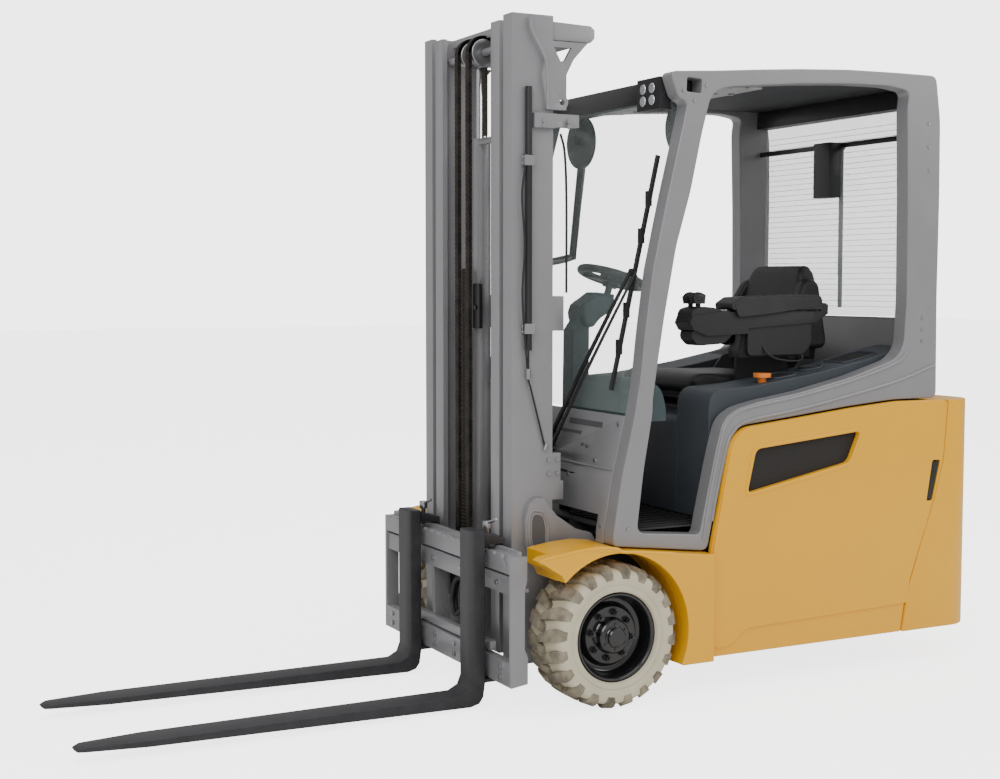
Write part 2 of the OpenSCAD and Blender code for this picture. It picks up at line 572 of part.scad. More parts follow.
module notches() for (i = [0:15]) translate([carriage_front + 1, -carriage_w / 2 + 55 + i * 58, carriage_top])
    rotate([0, -90, 0]) cylinder(r = 9, h = 14);
module fork_carriage() color(grey) from_axle() difference() {
    union() {
        for (z = [carriage_z, carriage_top - 56]) block(carriage_front - carriage_t, carriage_front,
            -carriage_w / 2 + 12, carriage_w / 2 - 12, z, z + (z > 200 ? 56 : 76));
        block(carriage_front - carriage_t - 12, carriage_front - carriage_t + 1, -carriage_w / 2 + 12,
            carriage_w / 2 - 12, carriage_top - 16, carriage_top + 12);
        block(carriage_front - carriage_t, carriage_front - 8, -carriage_w / 2 + 12, carriage_w / 2 - 12,
            carriage_top - 124, carriage_top - 66);
        block(carriage_front - carriage_t, carriage_front - 8, -330, 330, carriage_z + 84, carriage_z + 112);
        both() side(carriage_w / 2, 14) polygon([[carriage_front, carriage_z], [carriage_front, carriage_top - 2],
            [carriage_front - 55, carriage_top - 2], [carriage_front - 55, carriage_top - 76],
            [carriage_front - 47, carriage_top - 108], [carriage_front - 47, carriage_z + 116],
            [carriage_front - 58, carriage_z + 90], [carriage_front - 58, carriage_z + 8]]);
        both() block(rail_front + 6, carriage_front - carriage_t + 6, 117, 137, carriage_z + 40,
            carriage_top - 30);
        both() block(rail_back + 60, rail_front + 30, 118, 134, carriage_z + 30, carriage_top - 40);
        for (z = [carriage_z + 80, carriage_top - 80]) both()
            bar_y(180, z, 38, 134, inner_rail_y - rail_w + 17);
        both() block(rail_front + 11, carriage_front - carriage_t + 1, 125, carriage_w / 2 - 30,
            carriage_top - 120, carriage_top - 108);
        both() block(rail_front + 8, carriage_front - carriage_t + 1, chain_y - 14, chain_y + 14,
            carriage_top - 56, carriage_top - 36);
    }
    notches();
}
module fork_side() polygon([[fork_front - fork_t, carriage_top + 62], [fork_front, carriage_top + 62],
    [fork_front, 95], [fork_front + 12, 65], [fork_front + 45, fork_top], [tip_x - 20, fork_top],
    [tip_x, fork_top - 8], [tip_x - 10, fork_top - 16], [fork_front + 10, fork_top - fork_t + 2],
    [fork_front - 20, 18], [fork_front - 34, 38],
    [fork_front - fork_t, 80]]);
module fork(y) {
    intersection() {
        side(y + fork_w / 2, fork_w) fork_side();
        translate([0, y, 0]) linear_extrude(2000) polygon([[0, -fork_w / 2], [tip_x - 200, -fork_w / 2],
            [tip_x - 30, -fork_w / 4 - 4], [tip_x, -fork_w / 5], [tip_x, fork_w / 5],
            [tip_x - 30, fork_w / 4 + 4], [tip_x - 200, fork_w / 2], [0, fork_w / 2]]);
    }
    side(y + 40, 80) polygon([[fork_front - fork_t, carriage_top + 56], [carriage_front - carriage_t - 18,
        carriage_top + 36], [carriage_front - carriage_t - 26, carriage_top + 36],
        [carriage_front - carriage_t - 26, carriage_top - 12], [carriage_front - carriage_t - 13 - move_gap,
        carriage_top - 12], [carriage_front - carriage_t - 13 - move_gap, carriage_top + 13 + move_gap],
        [fork_front - fork_t, carriage_top + 13 + move_gap]]);
    side(y + 40, 80) polygon([[fork_front - fork_t, carriage_z - 14], [carriage_front - carriage_t - 12,
        carriage_z - 14], [carriage_front - carriage_t - 12, carriage_z + 30],
        [carriage_front - carriage_t - move_gap, carriage_z + 30], [carriage_front - carriage_t - move_gap,
        carriage_z - move_gap], [fork_front - fork_t, carriage_z - move_gap]]);
}
module lock_hole(y) translate([carriage_front - 12, y, carriage_top - 5])
    cylinder(r = 8 + run_gap, h = 90);
module left_fork() color(black) from_axle() difference() { fork(left_fork_y); lock_hole(left_fork_y); }
module right_fork() color(black) from_axle() difference() { fork(right_fork_y); lock_hole(right_fork_y); }
module fork_lock(y) {
    translate([carriage_front - 12, y, carriage_top + 4]) cylinder(r = 8, h = 82);
    translate([carriage_front - 12, y, carriage_top + 62]) cylinder(r = 14, h = 24);
    rod([carriage_front - 12, y, carriage_top + 78], [carriage_front - 12, y + 60, carriage_top + 98], 5);
}
module left_fork_lock() color("silver") from_axle() fork_lock(left_fork_y);
module right_fork_lock() color("silver") from_axle() fork_lock(right_fork_y);

tilt_dir = [tilt_pin_x - tilt_base_x, 0, tilt_pin_z - tilt_base_z]
    / norm([tilt_pin_x - tilt_base_x, tilt_pin_z - tilt_base_z]);
tilt_len = norm([tilt_pin_x - tilt_base_x, tilt_pin_z - tilt_base_z]);
module tilt_barrels() color(black) from_axle() both() translate([0, tilt_y, 0]) difference() {
    union() {
        translate([tilt_base_x, 0, tilt_base_z]) rotate([90, 0, 0])
            cylinder(r = tilt_pin_d / 2 + 8, h = 24, center = true);
        rod([tilt_base_x, 0, tilt_base_z] + 16 * tilt_dir, [tilt_base_x, 0, tilt_base_z] + 40 * tilt_dir, 11);
        rod([tilt_base_x, 0, tilt_base_z] + 36 * tilt_dir,
            [tilt_base_x, 0, tilt_base_z] + (tilt_len - 95) * tilt_dir, tilt_cyl_d / 2);
    }
    translate([tilt_base_x, 0, tilt_base_z]) rotate([90, 0, 0])
        cylinder(r = tilt_pin_d / 2 + run_gap, h = 30, center = true);
    rod([tilt_base_x, 0, tilt_base_z] + 60 * tilt_dir,
        [tilt_base_x, 0, tilt_base_z] + (tilt_len - 90) * tilt_dir, 14 + run_gap);
}
module tilt_rods() color("silver") from_axle() both() translate([0, tilt_y, 0]) difference() {
    union() {
        rod([tilt_base_x, 0, tilt_base_z] + 120 * tilt_dir,
            [tilt_base_x, 0, tilt_base_z] + (tilt_len - 20) * tilt_dir, 14);
        translate([tilt_pin_x, 0, tilt_pin_z]) rotate([90, 0, 0]) cylinder(r = 26, h = 30, center = true);
    }
    translate([tilt_pin_x, 0, tilt_pin_z]) rotate([90, 0, 0])
        cylinder(r = tilt_pin_d / 2 + 3, h = 40, center = true);
}

module front_tyre() translate([0, tyre_in_y, axle_z]) rotate([-90, 0, 0]) rotate_extrude($fn = 96)
    polygon([[front_rim_d / 2, 12], [front_rim_d / 2 + 30, 2], [axle_z - 40, 0], [axle_z - 14, 8],
        [axle_z, 34], [axle_z, front_tyre_w - 34], [axle_z - 14, front_tyre_w - 8],
        [axle_z - 40, front_tyre_w], [front_rim_d / 2 + 30, front_tyre_w - 2],
        [front_rim_d / 2, front_tyre_w - 12]]);
module front_rim() translate([0, tyre_in_y, axle_z]) rotate([-90, 0, 0]) {
    rotate_extrude($fn = 96) polygon([[stub_d / 2 + run_gap, 60], [60, 60], [60, 96], [100, 110],
        [front_rim_d / 2 - 16, 110], [front_rim_d / 2 - 16, 14], [front_rim_d / 2, 14],
        [front_rim_d / 2, front_tyre_w - 14], [front_rim_d / 2 - 14, front_tyre_w - 14],
        [front_rim_d / 2 - 22, 126], [100, 126], [88, 140], [56, 140], [50, 165], [30, 168], [0, 168],
        [0, 145], [stub_d / 2 + run_gap, 145]]);
    for (i = [0:7]) rotate(i * 45) translate([72, 0, 139]) cylinder(r = 12, h = 16, $fn = 6);
}
module left_tyre() color("ivory") from_axle() front_tyre();
module left_rim() color(black) from_axle() front_rim();
module right_tyre() color("ivory") from_axle() mirror_y() front_tyre();
module right_rim() color(black) from_axle() mirror_y() front_rim();

module steer_turntable() color("#2b2b2e") from_axle() translate([-wheelbase, 0, 0]) {
    translate([0, 0, deck_z - 40]) cylinder(r = king_pin_d / 2, h = 66);
    translate([0, 0, deck_z - 40]) cylinder(r = 110, h = 37);
    block(-22, 22, -22, 22, rear_z, deck_z - 39);
    bar_y(0, rear_z, 24, -24, 24);
    bar_y(0, rear_z, rear_axle_d / 2, -rear_gap / 2 - rear_tyre_w + 20, rear_gap / 2 + rear_tyre_w - 20);
}
module rear_wheel() translate([-wheelbase, rear_gap / 2, rear_z]) rotate([-90, 0, 0]) difference() {
    rotate_extrude($fn = 96) polygon([[rear_axle_d / 2 + run_gap, 20], [60, 20], [80, 8], [110, 0],
        [rear_z - 24, 0], [rear_z, 22], [rear_z, rear_tyre_w - 22], [rear_z - 24, rear_tyre_w],
        [110, rear_tyre_w], [80, rear_tyre_w - 8], [60, rear_tyre_w - 30],
        [rear_axle_d / 2 + run_gap, rear_tyre_w - 30]]);
}
module rear_left_wheel() color("ivory") from_axle() rear_wheel();
module rear_right_wheel() color("ivory") from_axle() mirror_y() rear_wheel();

module at_screen(y, z) translate([wiper_x, y, z]) rotate([0, -glass_lean, 0]) children();
module wiper_arm() color(black) from_axle() at_screen(wiper_y, wiper_z) {
    rotate([0, 90, 0]) translate([0, 0, 18]) cylinder(r = 16, h = 32);
    rotate([0, 90, 0]) translate([0, 0, -20]) cylinder(r = 9, h = 40);
    rotate([-arm_angle, 0, 0]) block(38, 50, -9, 9, 0, arm_l);
}
module wiper_blade() color(black) from_axle() at_screen(wiper_y, wiper_z)
    translate([0, arm_l * sin(arm_angle), arm_l * cos(arm_angle)]) {
        rotate([0, 90, 0]) translate([0, 0, 30]) cylinder(r = 12, h = 7.5);
        rotate([-4, 0, 0]) block(22, 36, -9, 9, -blade_l / 2, blade_l / 2);
    }
module rear_wiper() color(black) from_axle() {
    rod([rear_x + 186, 0, 1844], [rear_x + 199.4, 0, 1844], 14);
    block(rear_x + 190, rear_x + 198, -8, 8, 1360, 1844);
    block(rear_x + 186, rear_x + 199, -5, 5, 1240, 1660);
}
module work_lamp() color(black) from_axle() {
    block(-256, -212, cab_in - 138, cab_in - 6, guard_h - 161, guard_h - 61);
    bar_y(-234, guard_h - 111, 6, cab_in - 140, cab_in - 2);
}
module cab_mirror(y) {
    translate([mirror_x - 34, y, guard_h - 200]) rotate([0, 90, 0]) cylinder(r = 95, h = 14, $fn = 64);
    difference() {
        union() {
            translate([mirror_x - 21, y, guard_h - 200]) rotate([0, 90, 0]) cylinder(r = 8, h = 21);
            translate([mirror_x, y, guard_h - 212]) cylinder(r = 11, h = 24);
        }
        translate([mirror_x, y, guard_h - 213]) cylinder(r = 5 + run_gap, h = 26);
    }
}
module left_mirror() color("#303438") from_axle() cab_mirror(330);
module right_mirror() color("#303438") from_axle() cab_mirror(-330);

chassis_frame();
drive_axle();
battery();
left_fender();
right_fender();
counterweight();
battery_hood();
right_side_panel();
left_cab_frame();
right_cab_frame();
cab_crossmembers();
roof_panel();
windscreen();
rear_window();
front_cowl();
floor_mat();
dash_console();
seat_suspension();
outer_mast();
lift_cylinders();
height_sensor();
inner_mast();
lift_rods();
chain_pulleys();
lift_chains();
mast_hoses();
fork_carriage();
left_fork();
right_fork();
left_fork_lock();
right_fork_lock();
tilt_barrels();
tilt_rods();
left_tyre();
left_rim();
right_tyre();
right_rim();
steer_turntable();
rear_left_wheel();
rear_right_wheel();
steering_column();
steering_wheel();
steering_knob();
accelerator_pedal();
brake_pedal();
seat_cushion();
seat_backrest();
armrest_console();
armrest_pad();
lift_lever();
tilt_lever();
emergency_stop();
side_door();
door_latch();
wiper_arm();
wiper_blade();
rear_wiper();
work_lamp();
left_mirror();
right_mirror();
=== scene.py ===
import math

import bmesh
import bpy
from mathutils import Matrix, Vector


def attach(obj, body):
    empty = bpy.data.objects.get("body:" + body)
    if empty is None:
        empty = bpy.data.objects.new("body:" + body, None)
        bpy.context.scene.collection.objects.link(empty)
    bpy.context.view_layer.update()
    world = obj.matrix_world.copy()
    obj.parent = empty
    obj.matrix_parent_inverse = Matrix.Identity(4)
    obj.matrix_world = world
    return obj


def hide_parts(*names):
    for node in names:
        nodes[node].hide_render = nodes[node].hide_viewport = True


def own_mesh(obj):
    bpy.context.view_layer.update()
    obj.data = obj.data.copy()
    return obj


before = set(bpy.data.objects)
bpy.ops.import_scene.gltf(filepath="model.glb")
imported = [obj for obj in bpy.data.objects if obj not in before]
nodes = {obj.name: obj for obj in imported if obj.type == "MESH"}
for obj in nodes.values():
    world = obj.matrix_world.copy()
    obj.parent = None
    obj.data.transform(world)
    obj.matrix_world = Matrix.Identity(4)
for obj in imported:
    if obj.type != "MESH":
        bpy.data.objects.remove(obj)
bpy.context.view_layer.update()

# ---------------------------------------------------------------- camera
# One long-lens view from the truck's front left, just under roof height.
CAM_AZIMUTH = math.radians(-117.29)
CAM_PITCH = 0.070
camera = bpy.data.objects.new("camera", bpy.data.cameras.new("camera"))
camera.data.lens = 54.3
camera.data.sensor_width = 36
camera.location = (2.3965, 4.501, 1.329)
aim = Vector((math.cos(CAM_AZIMUTH) * math.cos(CAM_PITCH),
              math.sin(CAM_AZIMUTH) * math.cos(CAM_PITCH), -math.sin(CAM_PITCH)))
camera.rotation_euler = aim.to_track_quat("-Z", "Y").to_euler()
bpy.context.scene.collection.objects.link(camera)
bpy.context.scene.camera = camera

# ---------------------------------------------------------------- cab side frames
# Two pressed and welded steel side frames in light grey metallic paint, bolted to the floor and roof.
# Outlines are in millimetres from the floor under the front axle, x forward.
AXLE_X = -52.5
TO_ROW = Matrix.Scale(0.001, 4) @ Matrix.Translation((AXLE_X, 0, 0))


def surface(name, colour, rough, metal=0.0, coat=0.0, spread=0.06, grain=9.0, bump=0.0, fine=220.0,
            grime=0.0):
    """A painted, moulded or rubber surface: uneven tone and gloss, fine texture, and grime that gathers low."""
    m = bpy.data.materials.new(name)
    m.use_nodes = True
    n, link = m.node_tree.nodes, m.node_tree.links.new
    bsdf = n["Principled BSDF"]
    bsdf.inputs["Metallic"].default_value = metal
    bsdf.inputs["Coat Weight"].default_value = coat
    bsdf.inputs["Coat Roughness"].default_value = 0.12
    where = n.new("ShaderNodeTexCoord")
    cloud = n.new("ShaderNodeTexNoise")
    cloud.inputs["Scale"].default_value = grain
    cloud.inputs["Detail"].default_value = 6
    link(where.outputs["Object"], cloud.inputs["Vector"])
    tone = n.new("ShaderNodeValToRGB")
    tone.color_ramp.elements[0].position = 0.3
    tone.color_ramp.elements[1].position = 0.7
    tone.color_ramp.elements[0].color = (*[c * (1 - spread) for c in colour], 1)
    tone.color_ramp.elements[1].color = (*[min(1, c * (1 + spread)) for c in colour], 1)
    link(cloud.outputs["Fac"], tone.inputs["Fac"])
    gloss = n.new("ShaderNodeMapRange")
    gloss.inputs["To Min"].default_value = max(0.03, rough - 0.07)
    gloss.inputs["To Max"].default_value = min(1, rough + 0.07)
    link(cloud.outputs["Fac"], gloss.inputs["Value"])
    link(gloss.outputs["Result"], bsdf.inputs["Roughness"])
    last = tone.outputs["Color"]
    if grime:
        split = n.new("ShaderNodeSeparateXYZ")
        link(where.outputs["Object"], split.inputs["Vector"])
        low = n.new("ShaderNodeMapRange")
        low.inputs["From Min"].default_value = 0.0
        low.inputs["From Max"].default_value = 0.75
        low.inputs["To Min"].default_value = grime
        low.inputs["To Max"].default_value = 0.0
        link(split.outputs["Z"], low.inputs["Value"])
        speck = n.new("ShaderNodeTexNoise")
        speck.inputs["Scale"].default_value = 45
        speck.inputs["Detail"].default_value = 8
        link(where.outputs["Object"], speck.inputs["Vector"])
        part = n.new("ShaderNodeMath")
        part.operation = "MULTIPLY"
        link(low.outputs["Result"], part.inputs[0])
        link(speck.outputs["Fac"], part.inputs[1])
        mix = n.new("ShaderNodeMix")
        mix.data_type = "RGBA"
        mix.inputs["B"].default_value = (0.11, 0.095, 0.075, 1)
        link(part.outputs["Value"], mix.inputs["Factor"])
        link(last, mix.inputs["A"])
        last = mix.outputs["Result"]
    link(last, bsdf.inputs["Base Color"])
    if bump:
        pores = n.new("ShaderNodeTexNoise")
        pores.inputs["Scale"].default_value = fine
        pores.inputs["Detail"].default_value = 3
        link(where.outputs["Object"], pores.inputs["Vector"])
        relief = n.new("ShaderNodeBump")
        relief.inputs["Strength"].default_value = bump
        relief.inputs["Distance"].default_value = 0.001
        link(pores.outputs["Fac"], relief.inputs["Height"])
        link(relief.outputs["Normal"], bsdf.inputs["Normal"])
    return m


def rounded(points, radius, steps=4):
    """The closed outline with each corner turned into an arc, as large as its neighbours allow."""
    out = []
    count = len(points)
    for i in range(count):
        p = Vector(points[i])
        a, b = Vector(points[i - 1]) - p, Vector(points[(i + 1) % count]) - p
        if a.length < 1e-6 or b.length < 1e-6:
            continue
        reach = min(radius, a.length * 0.48, b.length * 0.48)
        start, end = p + a.normalized() * reach, p + b.normalized() * reach
        for k in range(steps + 1):
            t = k / steps
            out.append(tuple(start * (1 - t) ** 2 + p * 2 * t * (1 - t) + end * t ** 2))
    return out


def prism(bm, outline, y0, y1, holes=()):
    """Side outlines (x, z) filled between them and made thick from y0 to y1."""
    edges = []
    for loop in (outline, *holes):
        ring = [bm.verts.new((x, y0, z)) for x, z in loop]
        edges += [bm.edges.new((ring[i - 1], ring[i])) for i in range(len(ring))]
    made = bmesh.ops.triangle_fill(bm, edges=edges, use_beauty=True, use_dissolve=True)
    faces = [g for g in made["geom"] if isinstance(g, bmesh.types.BMFace)]
    grown = bmesh.ops.extrude_face_region(bm, geom=faces)
    moved = [g for g in grown["geom"] if isinstance(g, bmesh.types.BMVert)]
    bmesh.ops.translate(bm, verts=moved, vec=(0, y1 - y0, 0))
    return faces


def box(bm, x0, x1, y0, y1, z0, z1, turn=None):
    made = bmesh.ops.create_cube(bm, size=1)["verts"]
    bmesh.ops.scale(bm, vec=(x1 - x0, y1 - y0, z1 - z0), verts=made)
    if turn:
        bmesh.ops.rotate(bm, cent=(0, 0, 0), matrix=turn, verts=made)
    bmesh.ops.translate(bm, vec=((x0 + x1) / 2, (y0 + y1) / 2, (z0 + z1) / 2), verts=made)
    return made


def rod(bm, a, b, r, r2=None, sides=20):
    """A round bar, or a cone, from a to b."""
    a, b = Vector(a), Vector(b)
    place = Matrix.Translation((a + b) / 2) @ (b - a).to_track_quat("Z", "Y").to_matrix().to_4x4()
    return bmesh.ops.create_cone(bm, cap_ends=True, segments=sides, radius1=r, radius2=r if r2 is None else r2,
                                 depth=(b - a).length, matrix=place)["verts"]


def tube(bm, path, radius, sides=10, closed=False):
    """A round tube through the points of a path. radius may be a function of the share of the path."""
    path = [Vector(p) for p in path]
    rings, side = [], None
    for i, p in enumerate(path):
        ahead = path[(i + 1) % len(path)] if closed else path[min(i + 1, len(path) - 1)]
        along = (ahead - path[i - 1 if closed or i else 0]).normalized()
        if side is None:
            side = along.orthogonal().normalized()
        side = (side - along * side.dot(along)).normalized()
        up = along.cross(side)
        r = radius(i / (len(path) - 1)) if callable(radius) else radius
        rings.append([bm.verts.new(p + (side * math.cos(t) + up * math.sin(t)) * r)
                      for t in [2 * math.pi * k / sides for k in range(sides)]])
    for i in range(len(rings) if closed else len(rings) - 1):
        a, b = rings[i], rings[(i + 1) % len(rings)]
        for k in range(sides):
            bm.faces.new((a[k - 1], a[k], b[k], b[k - 1]))
    if not closed:
        bm.faces.new(rings[0][::-1])
        bm.faces.new(rings[-1])


def curve_through(points, steps=8):
    """A smooth path that passes through every point."""
    p = [Vector(q) for q in points]
    p = [p[0] * 2 - p[1], *p, p[-1] * 2 - p[-2]]
    out = []
    for i in range(1, len(p) - 2):
        for k in range(steps):
            t = k / steps
            out.append(0.5 * (p[i] * 2 + (p[i + 1] - p[i - 1]) * t
                              + (p[i - 1] * 2 - p[i] * 5 + p[i + 1] * 4 - p[i + 2]) * t * t
                              + (p[i] * 3 - p[i - 1] - p[i + 1] * 3 + p[i + 2]) * t ** 3))
    return out + [p[-2]]


def piece(bm, name, material, body, stands_for=(), soften=0.0, segments=2, mirrored=False):
    """Ends a mesh drawn in truck millimetres: puts it in the row frame and fixes it to a body."""
    if mirrored:
        bmesh.ops.scale(bm, vec=(1, -1, 1), verts=bm.verts)
    bmesh.ops.transform(bm, matrix=TO_ROW, verts=bm.verts)
    bmesh.ops.remove_doubles(bm, verts=bm.verts, dist=1e-6)
    bmesh.ops.recalc_face_normals(bm, faces=bm.faces)
    mesh = bpy.data.meshes.new(name)
    bm.to_mesh(mesh)
    bm.free()
    mesh.materials.append(material)
    mesh.polygons.foreach_set("use_smooth", [True] * len(mesh.polygons))
    o = bpy.data.objects.new(name, mesh)
    bpy.context.scene.collection.objects.link(o)
    if soften:
        round_edges(o, soften, segments)
    else:
        mesh.set_sharp_from_angle(angle=math.radians(35))
    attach(o, body)
    if stands_for:
        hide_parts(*stands_for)
    return o


def round_edges(o, width, segments=2):
    edge = o.modifiers.new("edges", "BEVEL")
    edge.width = width * 0.001
    edge.segments = segments
    edge.limit_method = "ANGLE"
    edge.angle_limit = math.radians(32)
    edge.harden_normals = True


def dress(name, material, soften=1.5, segments=2):
    """Shows a CAD node as it is, with its paint and softened edges."""
    o = nodes[name]
    o.data.materials.clear()
    o.data.materials.append(material)
    o.data.polygons.foreach_set("use_smooth", [True] * len(o.data.polygons))
    weld = o.modifiers.new("weld", "WELD")
    weld.merge_threshold = 0.00002
    round_edges(o, soften, segments)
    return o


GUARD_H = 2045
grey_paint = surface("grey_paint", (0.30, 0.297, 0.308), 0.38, metal=0.25, coat=0.15, spread=0.03, bump=0.05)
bolt_steel = surface("bolt_steel", (0.42, 0.42, 0.43), 0.3, metal=0.9)
frame_outer = [(-9, 508), (-10, 543), (-41, 726), (-86, 913), (-109, 1046), (-124, 1184), (-150, 1371),
               (-200, 1590), (-247, 1779), (-276, 1900), (-241, 1911), (-208, 1993), (-386, 2005),
               (-554, 2019), (-715, 2031), (-924, 2042), (-1130, 2045), (-1307, 2045), (-1329, 1892),
               (-1332, 1619), (-1329, 1272), (-1334, 930), (-1138, 930), (-940, 914), (-700, 888),
               (-501, 868), (-458, 842), (-436, 806), (-394, 600), (-366, 466)]
frame_inner = [(-97, 544), (-122, 745), (-154, 924), (-154, 965), (-171, 1077), (-195, 1225), (-238, 1448),
               (-290, 1619), (-332, 1806), (-363, 1918), (-392, 1945), (-440, 1957), (-716, 1983),
               (-925, 1995), (-1100, 1998), (-1189, 1985), (-1179, 1930), (-1188, 1616), (-1192, 1273),
               (-1182, 1110), (-1140, 1068), (-946, 1012), (-734, 968), (-570, 944), (-482, 925),
               (-440, 900), (-420, 872), (-397, 792), (-360, 632), (-338, 530), (-330, 522)]
lip_low = [(-383, 562), (-396, 632), (-436, 791), (-462, 846), (-522, 882), (-730, 912), (-941, 950),
           (-1161, 996), (-1322, 1045)]
lip_high = [(-350, 505), (-372, 632), (-409, 792), (-434, 874), (-486, 915), (-570, 933), (-734, 957),
            (-946, 1000), (-1150, 1058), (-1200, 1100)]
for side, mirrored in (("left", False), ("right", True)):
    bm = bmesh.new()
    prism(bm, rounded(frame_outer, 26), 450, 510,
          holes=(rounded(frame_inner, 30), rounded([(-328, 1930), (-272, 1933), (-274, 1977), (-330, 1974)], 6)))
    piece(bm, f"{side}_frame", grey_paint, "chassis", [f"{side}_cab_frame"], soften=7,
          segments=3, mirrored=mirrored)
    bm = bmesh.new()
    for line, r in ((lip_low, 6.0), (lip_high, 6.0)):
        tube(bm, [(p.x, 509.5, p.z) for p in curve_through([(x, 0, z) for x, z in line], 5)], r, sides=12)
    piece(bm, f"{side}_frame_ridges", grey_paint, "chassis", mirrored=mirrored)
    bm = bmesh.new()
    bolts = [(-1275, 1880), (-1277, 1800), (-1280, 1720), (-1262, 1210), (-1262, 1170), (-1262, 1130),
             (-258, 1935), (-300, 1905), (-345, 1955), (-62, 560), (-105, 1010)]
    for x, z in bolts:
        rod(bm, (x, 509, z), (x, 513, z), 7, 5.5, sides=6)
    piece(bm, f"{side}_frame_bolts", bolt_steel, "chassis", mirrored=mirrored)

# ---------------------------------------------------------------- roof, crossmembers and screens
# A dark pressed roof on black cross beams, and tinted screens bonded to the frames.
black_paint = surface("black_paint", (0.014, 0.014, 0.016), 0.35, coat=0.2, bump=0.08)
black_plastic = surface("black_plastic", (0.016, 0.016, 0.018), 0.5, bump=0.35, fine=700)
roof_lining = surface("roof_lining", (0.05, 0.052, 0.057), 0.75, bump=0.3, fine=500)
dress("cab_crossmembers", black_paint, 3, 3)
dress("roof_panel", roof_lining, 3, 2)


def pane(name, colour, clear, rough=0.02):
    """Tinted glass that lets most light straight through."""
    m = surface(name, colour, rough, spread=0.02, grain=3)
    bsdf = m.node_tree.nodes["Principled BSDF"]
    bsdf.inputs["Alpha"].default_value = 1 - clear
    bsdf.inputs["Specular IOR Level"].default_value = 0.6
    return m


screen_glass = pane("screen_glass", (0.36, 0.43, 0.41), 0.84)
rear_glass = pane("rear_glass", (0.62, 0.66, 0.65), 0.60)
for name, glass in (("windscreen", screen_glass), ("rear_window", rear_glass)):
    dress(name, glass, 0.5, 1)
wire_paint = surface("wire_paint", (0.34, 0.36, 0.36), 0.6)
bm = bmesh.new()
for i in range(33):
    box(bm, -1317.2, -1315.6, -440, 440, 1244 + i * 20.5, 1245.6 + i * 20.5)
piece(bm, "rear_heater_wires", wire_paint, "chassis")
lining_bar = surface("lining_bar", (0.42, 0.42, 0.42), 0.5)
bm = bmesh.new()
for i in range(4):
    x = -395 - i * 66
    top = GUARD_H - 82 + i * 4
    box(bm, x - 26, x + 26, -438, 438, top - 8, top)
piece(bm, "roof_slats", lining_bar, "chassis", soften=3)
bm = bmesh.new()
for i in range(4):
    for y in (-300, 300):
        rod(bm, (-395 - i * 66, y, GUARD_H - 96 + i * 4), (-395 - i * 66, y, GUARD_H - 89 + i * 4), 9, sides=16)
piece(bm, "roof_clips", bolt_steel, "chassis", soften=1)

bm = bmesh.new()
tube(bm, curve_through([(-388, -448, 1836), (-420, -432, 1836), (-440, -420, 1812), (-416, -420, 1600),
                        (-398, -420, 1452), (-380, -424, 1424), (-262, -448, 1400)], 8), 13.2, sides=16)
piece(bm, "grab_handle", grey_paint, "chassis")
bm = bmesh.new()
box(bm, -1321.5, -1320, -449, 449, 926, 1208)
piece(bm, "rear_sill_face", grey_paint, "chassis")

# ---------------------------------------------------------------- body panels
# Painted steel side panels, the left one a hinged battery door, and the cast counterweight behind them.
yellow_paint = surface("yellow_paint", (1.0, 0.49, 0.0), 0.38, coat=0.25, spread=0.02, grain=4, bump=0.04,
                       grime=0.06)
vent_mesh = surface("vent_mesh", (0.016, 0.014, 0.013), 0.7, bump=0.6, fine=900)
panel_edge = [(-372, 118), (-372, 466), (-400, 600), (-441, 805), (-463, 839), (-501, 863), (-700, 883),
              (-940, 909), (-1138, 925), (-1370, 924), (-1364, 860), (-1351, 715), (-1309, 566), (-1260, 440),
              (-1202, 278), (-1177, 135), (-1175, 118)]
crease = [(-447, 147), (-507, 200), (-1179, 217), (-1204, 221)]
vent = [(-541, 790), (-978, 830), (-930, 726), (-507, 646)]
latch_hole = [(-1340, 713), (-1304, 713), (-1280, 571), (-1306, 571)]
upper_panel = [(-376, 147), *crease, (-1206, 290), (-1262, 440), (-1311, 566), (-1353, 715), (-1365, 860),
               (-1370, 922), (-1138, 923), (-940, 907), (-700, 881), (-503, 861), (-466, 837), (-444, 805),
               (-403, 600), (-376, 466)]


def grown(outline, by):
    """The outline moved outwards from its middle by a distance along each axis."""
    cx, cz = sum(p[0] for p in outline) / len(outline), sum(p[1] for p in outline) / len(outline)
    return [(x + math.copysign(by, x - cx), z + math.copysign(by, z - cz)) for x, z in outline]


for node, body, mirrored in (("side_door", "side_door", False), ("right_side_panel", "chassis", True)):
    holes = [rounded(vent, 22, 6)] + ([rounded(latch_hole, 6)] if body == "side_door" else [])
    bm = bmesh.new()
    prism(bm, rounded(panel_edge, 20), 505, 524, holes=holes)
    piece(bm, node + "_shell", yellow_paint, body, [node], soften=3, mirrored=mirrored)
    bm = bmesh.new()
    prism(bm, rounded(upper_panel, 26, 5), 523, 530, holes=holes)
    piece(bm, node + "_face", yellow_paint, body, soften=3.4, segments=3, mirrored=mirrored)
    bm = bmesh.new()
    prism(bm, rounded(grown(vent, 13), 30, 6), 526, 533.5, holes=[rounded(vent, 22, 6)])
    piece(bm, node + "_vent_surround", yellow_paint, body, soften=3, segments=3,
          mirrored=mirrored)
    bm = bmesh.new()
    prism(bm, rounded(grown(vent, 1), 22, 6), 507, 513)
    piece(bm, node + "_vent_mesh", vent_mesh, body, mirrored=mirrored)
dress("counterweight", yellow_paint, 14, 4)
dress("door_latch", black_plastic, 2.5, 3)
bm = bmesh.new()
prism(bm, rounded(grown(latch_hole, 1), 6), 506, 514)
piece(bm, "latch_well", vent_mesh, "side_door")

